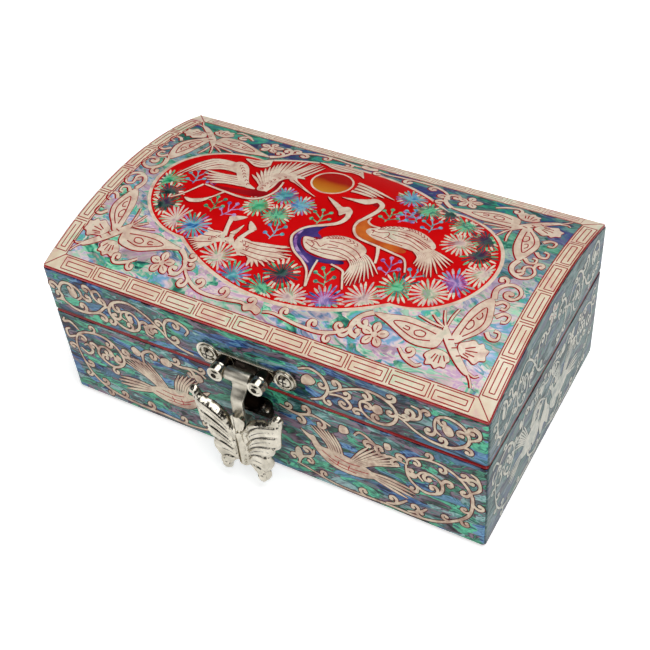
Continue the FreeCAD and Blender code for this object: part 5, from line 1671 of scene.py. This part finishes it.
def roll_start(low, high):
    """A closed roll a little smaller than its space, drawn larger for the simulation."""
    mid_x, half = (low.x + high.x) / 2, (high.x - low.x) / 2
    height = high.z - low.z
    section = [*ROLL_SECTION_SHARES] + [(-x, z) for x, z in reversed(ROLL_SECTION_SHARES[:-1])]
    mesh = bmesh.new()
    rings = []
    for i in range(ROLL_STEPS + 1):
        share = 2 * i / ROLL_STEPS - 1
        ring = []
        for x, z in section:
            reach = (high.y - low.y) / 2 - ROLL_END_ROOM - ROLL_SLOPE * z
            place = Vector((mid_x + x * half, share * reach, low.z + z * height))
            ring.append(mesh.verts.new(place * SIM_SCALE))
        rings.append(ring)
    join_rings(mesh, rings)
    mesh.faces.new(rings[0])
    mesh.faces.new(list(reversed(rings[-1])))
    bmesh.ops.recalc_face_normals(mesh, faces=mesh.faces[:])
    data = bpy.data.meshes.new("roll_start")
    mesh.to_mesh(data)
    mesh.free()
    return data


def settled(piece):
    """A copy of the mesh with the modifiers of the piece applied."""
    return bpy.data.meshes.new_from_object(piece.evaluated_get(bpy.context.evaluated_depsgraph_get()))


def swollen_roll(low, high):
    """One roll as a closed cloth under pressure, with its swelling kept inside its space."""
    scene = bpy.context.scene
    piece = bpy.data.objects.new("roll_cloth", roll_start(low, high))
    scene.collection.objects.link(piece)
    remesh = piece.modifiers.new("cloth_net", "REMESH")
    remesh.mode = "VOXEL"
    remesh.voxel_size = ROLL_VOXEL * SIM_SCALE
    net = settled(piece)
    piece.modifiers.clear()
    piece.data = net
    start = [vert.co.copy() for vert in net.vertices]
    cloth = piece.modifiers.new("cloth", "CLOTH")
    cloth.settings.use_pressure = True
    cloth.settings.uniform_pressure_force = ROLL_PRESSURE
    cloth.settings.effector_weights.gravity = 0
    cloth.point_cache.frame_end = SIM_FRAMES
    for step in range(1, SIM_FRAMES + 1):
        scene.frame_set(step)
    net = settled(piece)
    scene.frame_set(1)
    bpy.data.objects.remove(piece)
    for vert, first in zip(net.vertices, start):
        move = vert.co - first
        if move.length > ROLL_SWELL * SIM_SCALE:
            move *= ROLL_SWELL * SIM_SCALE / move.length
        place = (first + move) / SIM_SCALE
        for i in range(3):
            place[i] = min(max(place[i], low[i] + ROLL_ROOM), high[i] - ROLL_ROOM)
        vert.co = place * MM
    return net


def ring_rolls():
    low, high = box_mm("ring_roll_1")
    net = swollen_roll(low, high)
    net.materials.clear()
    net.materials.append(LOOKS["velvet"].material)
    net.polygons.foreach_set("use_smooth", [True] * len(net.polygons))
    for i in range(1, ROLLS + 1):
        mesh = net.copy()
        move = box_mm(f"ring_roll_{i}")[0].x - low.x
        mesh.transform(Matrix.Translation((move * MM, 0, 0)))
        piece = bpy.data.objects.new(f"soft_roll_{i}", mesh)
        bpy.context.scene.collection.objects.link(piece)
        piece.modifiers.new("smooth", "SUBSURF").render_levels = 1
        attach(piece, "base")
        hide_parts(f"ring_roll_{i}")


ring_rolls()


# Stage, light and camera

LIGHT_TARGET = Vector((0, 0, 0.04))
FLOOR_HALF = 40.0
FLOOR_GLOW = 0.55
FLOOR_GAP = 0.2


def area_light(name, size, power, place):
    light = bpy.data.lights.new(name, "AREA")
    light.size = size
    light.energy = power
    lamp = bpy.data.objects.new(name, light)
    lamp.location = place
    lamp.rotation_euler = (Vector(place) - LIGHT_TARGET).to_track_quat("Z", "Y").to_euler()
    bpy.context.scene.collection.objects.link(lamp)


def floor_look():
    look = plain_look("floor", (250, 250, 250), (253, 253, 253), 4, 0.9, specular=0.1)
    look.shader.inputs["Emission Color"].default_value = (1, 1, 1, 1)
    look.shader.inputs["Emission Strength"].default_value = FLOOR_GLOW
    return look


# Height of a sky direction, 0 to 1, and its brightness: a pale line round the floor, dark above it
SKY_STOPS = ((0.04, 0.57), (0.08, 0.003), (0.15, 0.003), (0.75, 0.023))
floor_mesh = bpy.data.meshes.new("floor")
floor_corners = [(x * FLOOR_HALF, y * FLOOR_HALF, 0) for x, y in ((-1, -1), (1, -1), (1, 1), (-1, 1))]
floor_mesh.from_pydata(floor_corners, [], [(0, 1, 2, 3)])
floor_mesh.materials.append(floor_look().material)
floor = bpy.data.objects.new("floor", floor_mesh)
floor.location.z = -FLOOR_GAP * MM
bpy.context.scene.collection.objects.link(floor)

scene = bpy.context.scene
scene.view_settings.view_transform = "Standard"
world = bpy.data.worlds.new("studio")
world.use_nodes = True
sky = world.node_tree.nodes
upward = sky.new("ShaderNodeSeparateXYZ")
world.node_tree.links.new(sky.new("ShaderNodeTexCoord").outputs["Generated"], upward.inputs[0])
dome = sky.new("ShaderNodeValToRGB")
while len(dome.color_ramp.elements) < len(SKY_STOPS):
    dome.color_ramp.elements.new(1)
for stop, (height, glow) in zip(dome.color_ramp.elements, SKY_STOPS):
    stop.position = height
    stop.color = (glow, glow, glow, 1)
world.node_tree.links.new(upward.outputs["Z"], dome.inputs["Fac"])
world.node_tree.links.new(dome.outputs["Color"], sky["Background"].inputs["Color"])
scene.world = world
# Width, power and place of each light
area_light("overhead", 1.2, 14.5, (0.35, 0.15, 1.35))
area_light("key", 1.0, 6.2, (0.75, -0.8, 1.1))
area_light("fill", 1.0, 3.2, (-0.8, -0.9, 0.9))

CAMERA_AZIMUTH = math.radians(33.25)
CAMERA_ELEVATION = math.radians(44.12)
CAMERA_ROLL = math.radians(-5.78)
CAMERA_DISTANCE = 0.5191
CAMERA_TARGET = Vector((0.001, -0.0056, 0.0346))
CAMERA_LENS = 63.4
level = math.cos(CAMERA_ELEVATION)
back = Vector((math.sin(CAMERA_AZIMUTH) * level, -math.cos(CAMERA_AZIMUTH) * level,
               math.sin(CAMERA_ELEVATION)))
across = Vector((0, 0, 1)).cross(back).normalized()
above = back.cross(across)
right = across * math.cos(CAMERA_ROLL) + above * math.sin(CAMERA_ROLL)
camera_up = above * math.cos(CAMERA_ROLL) - across * math.sin(CAMERA_ROLL)
camera = bpy.data.objects.new("camera", bpy.data.cameras.new("camera"))
camera.data.lens = CAMERA_LENS
camera.data.clip_start = 0.01
facing = Matrix((right, camera_up, back)).transposed().to_4x4()
camera.matrix_world = Matrix.Translation(CAMERA_TARGET + back * CAMERA_DISTANCE) @ facing
scene.collection.objects.link(camera)
scene.camera = camera
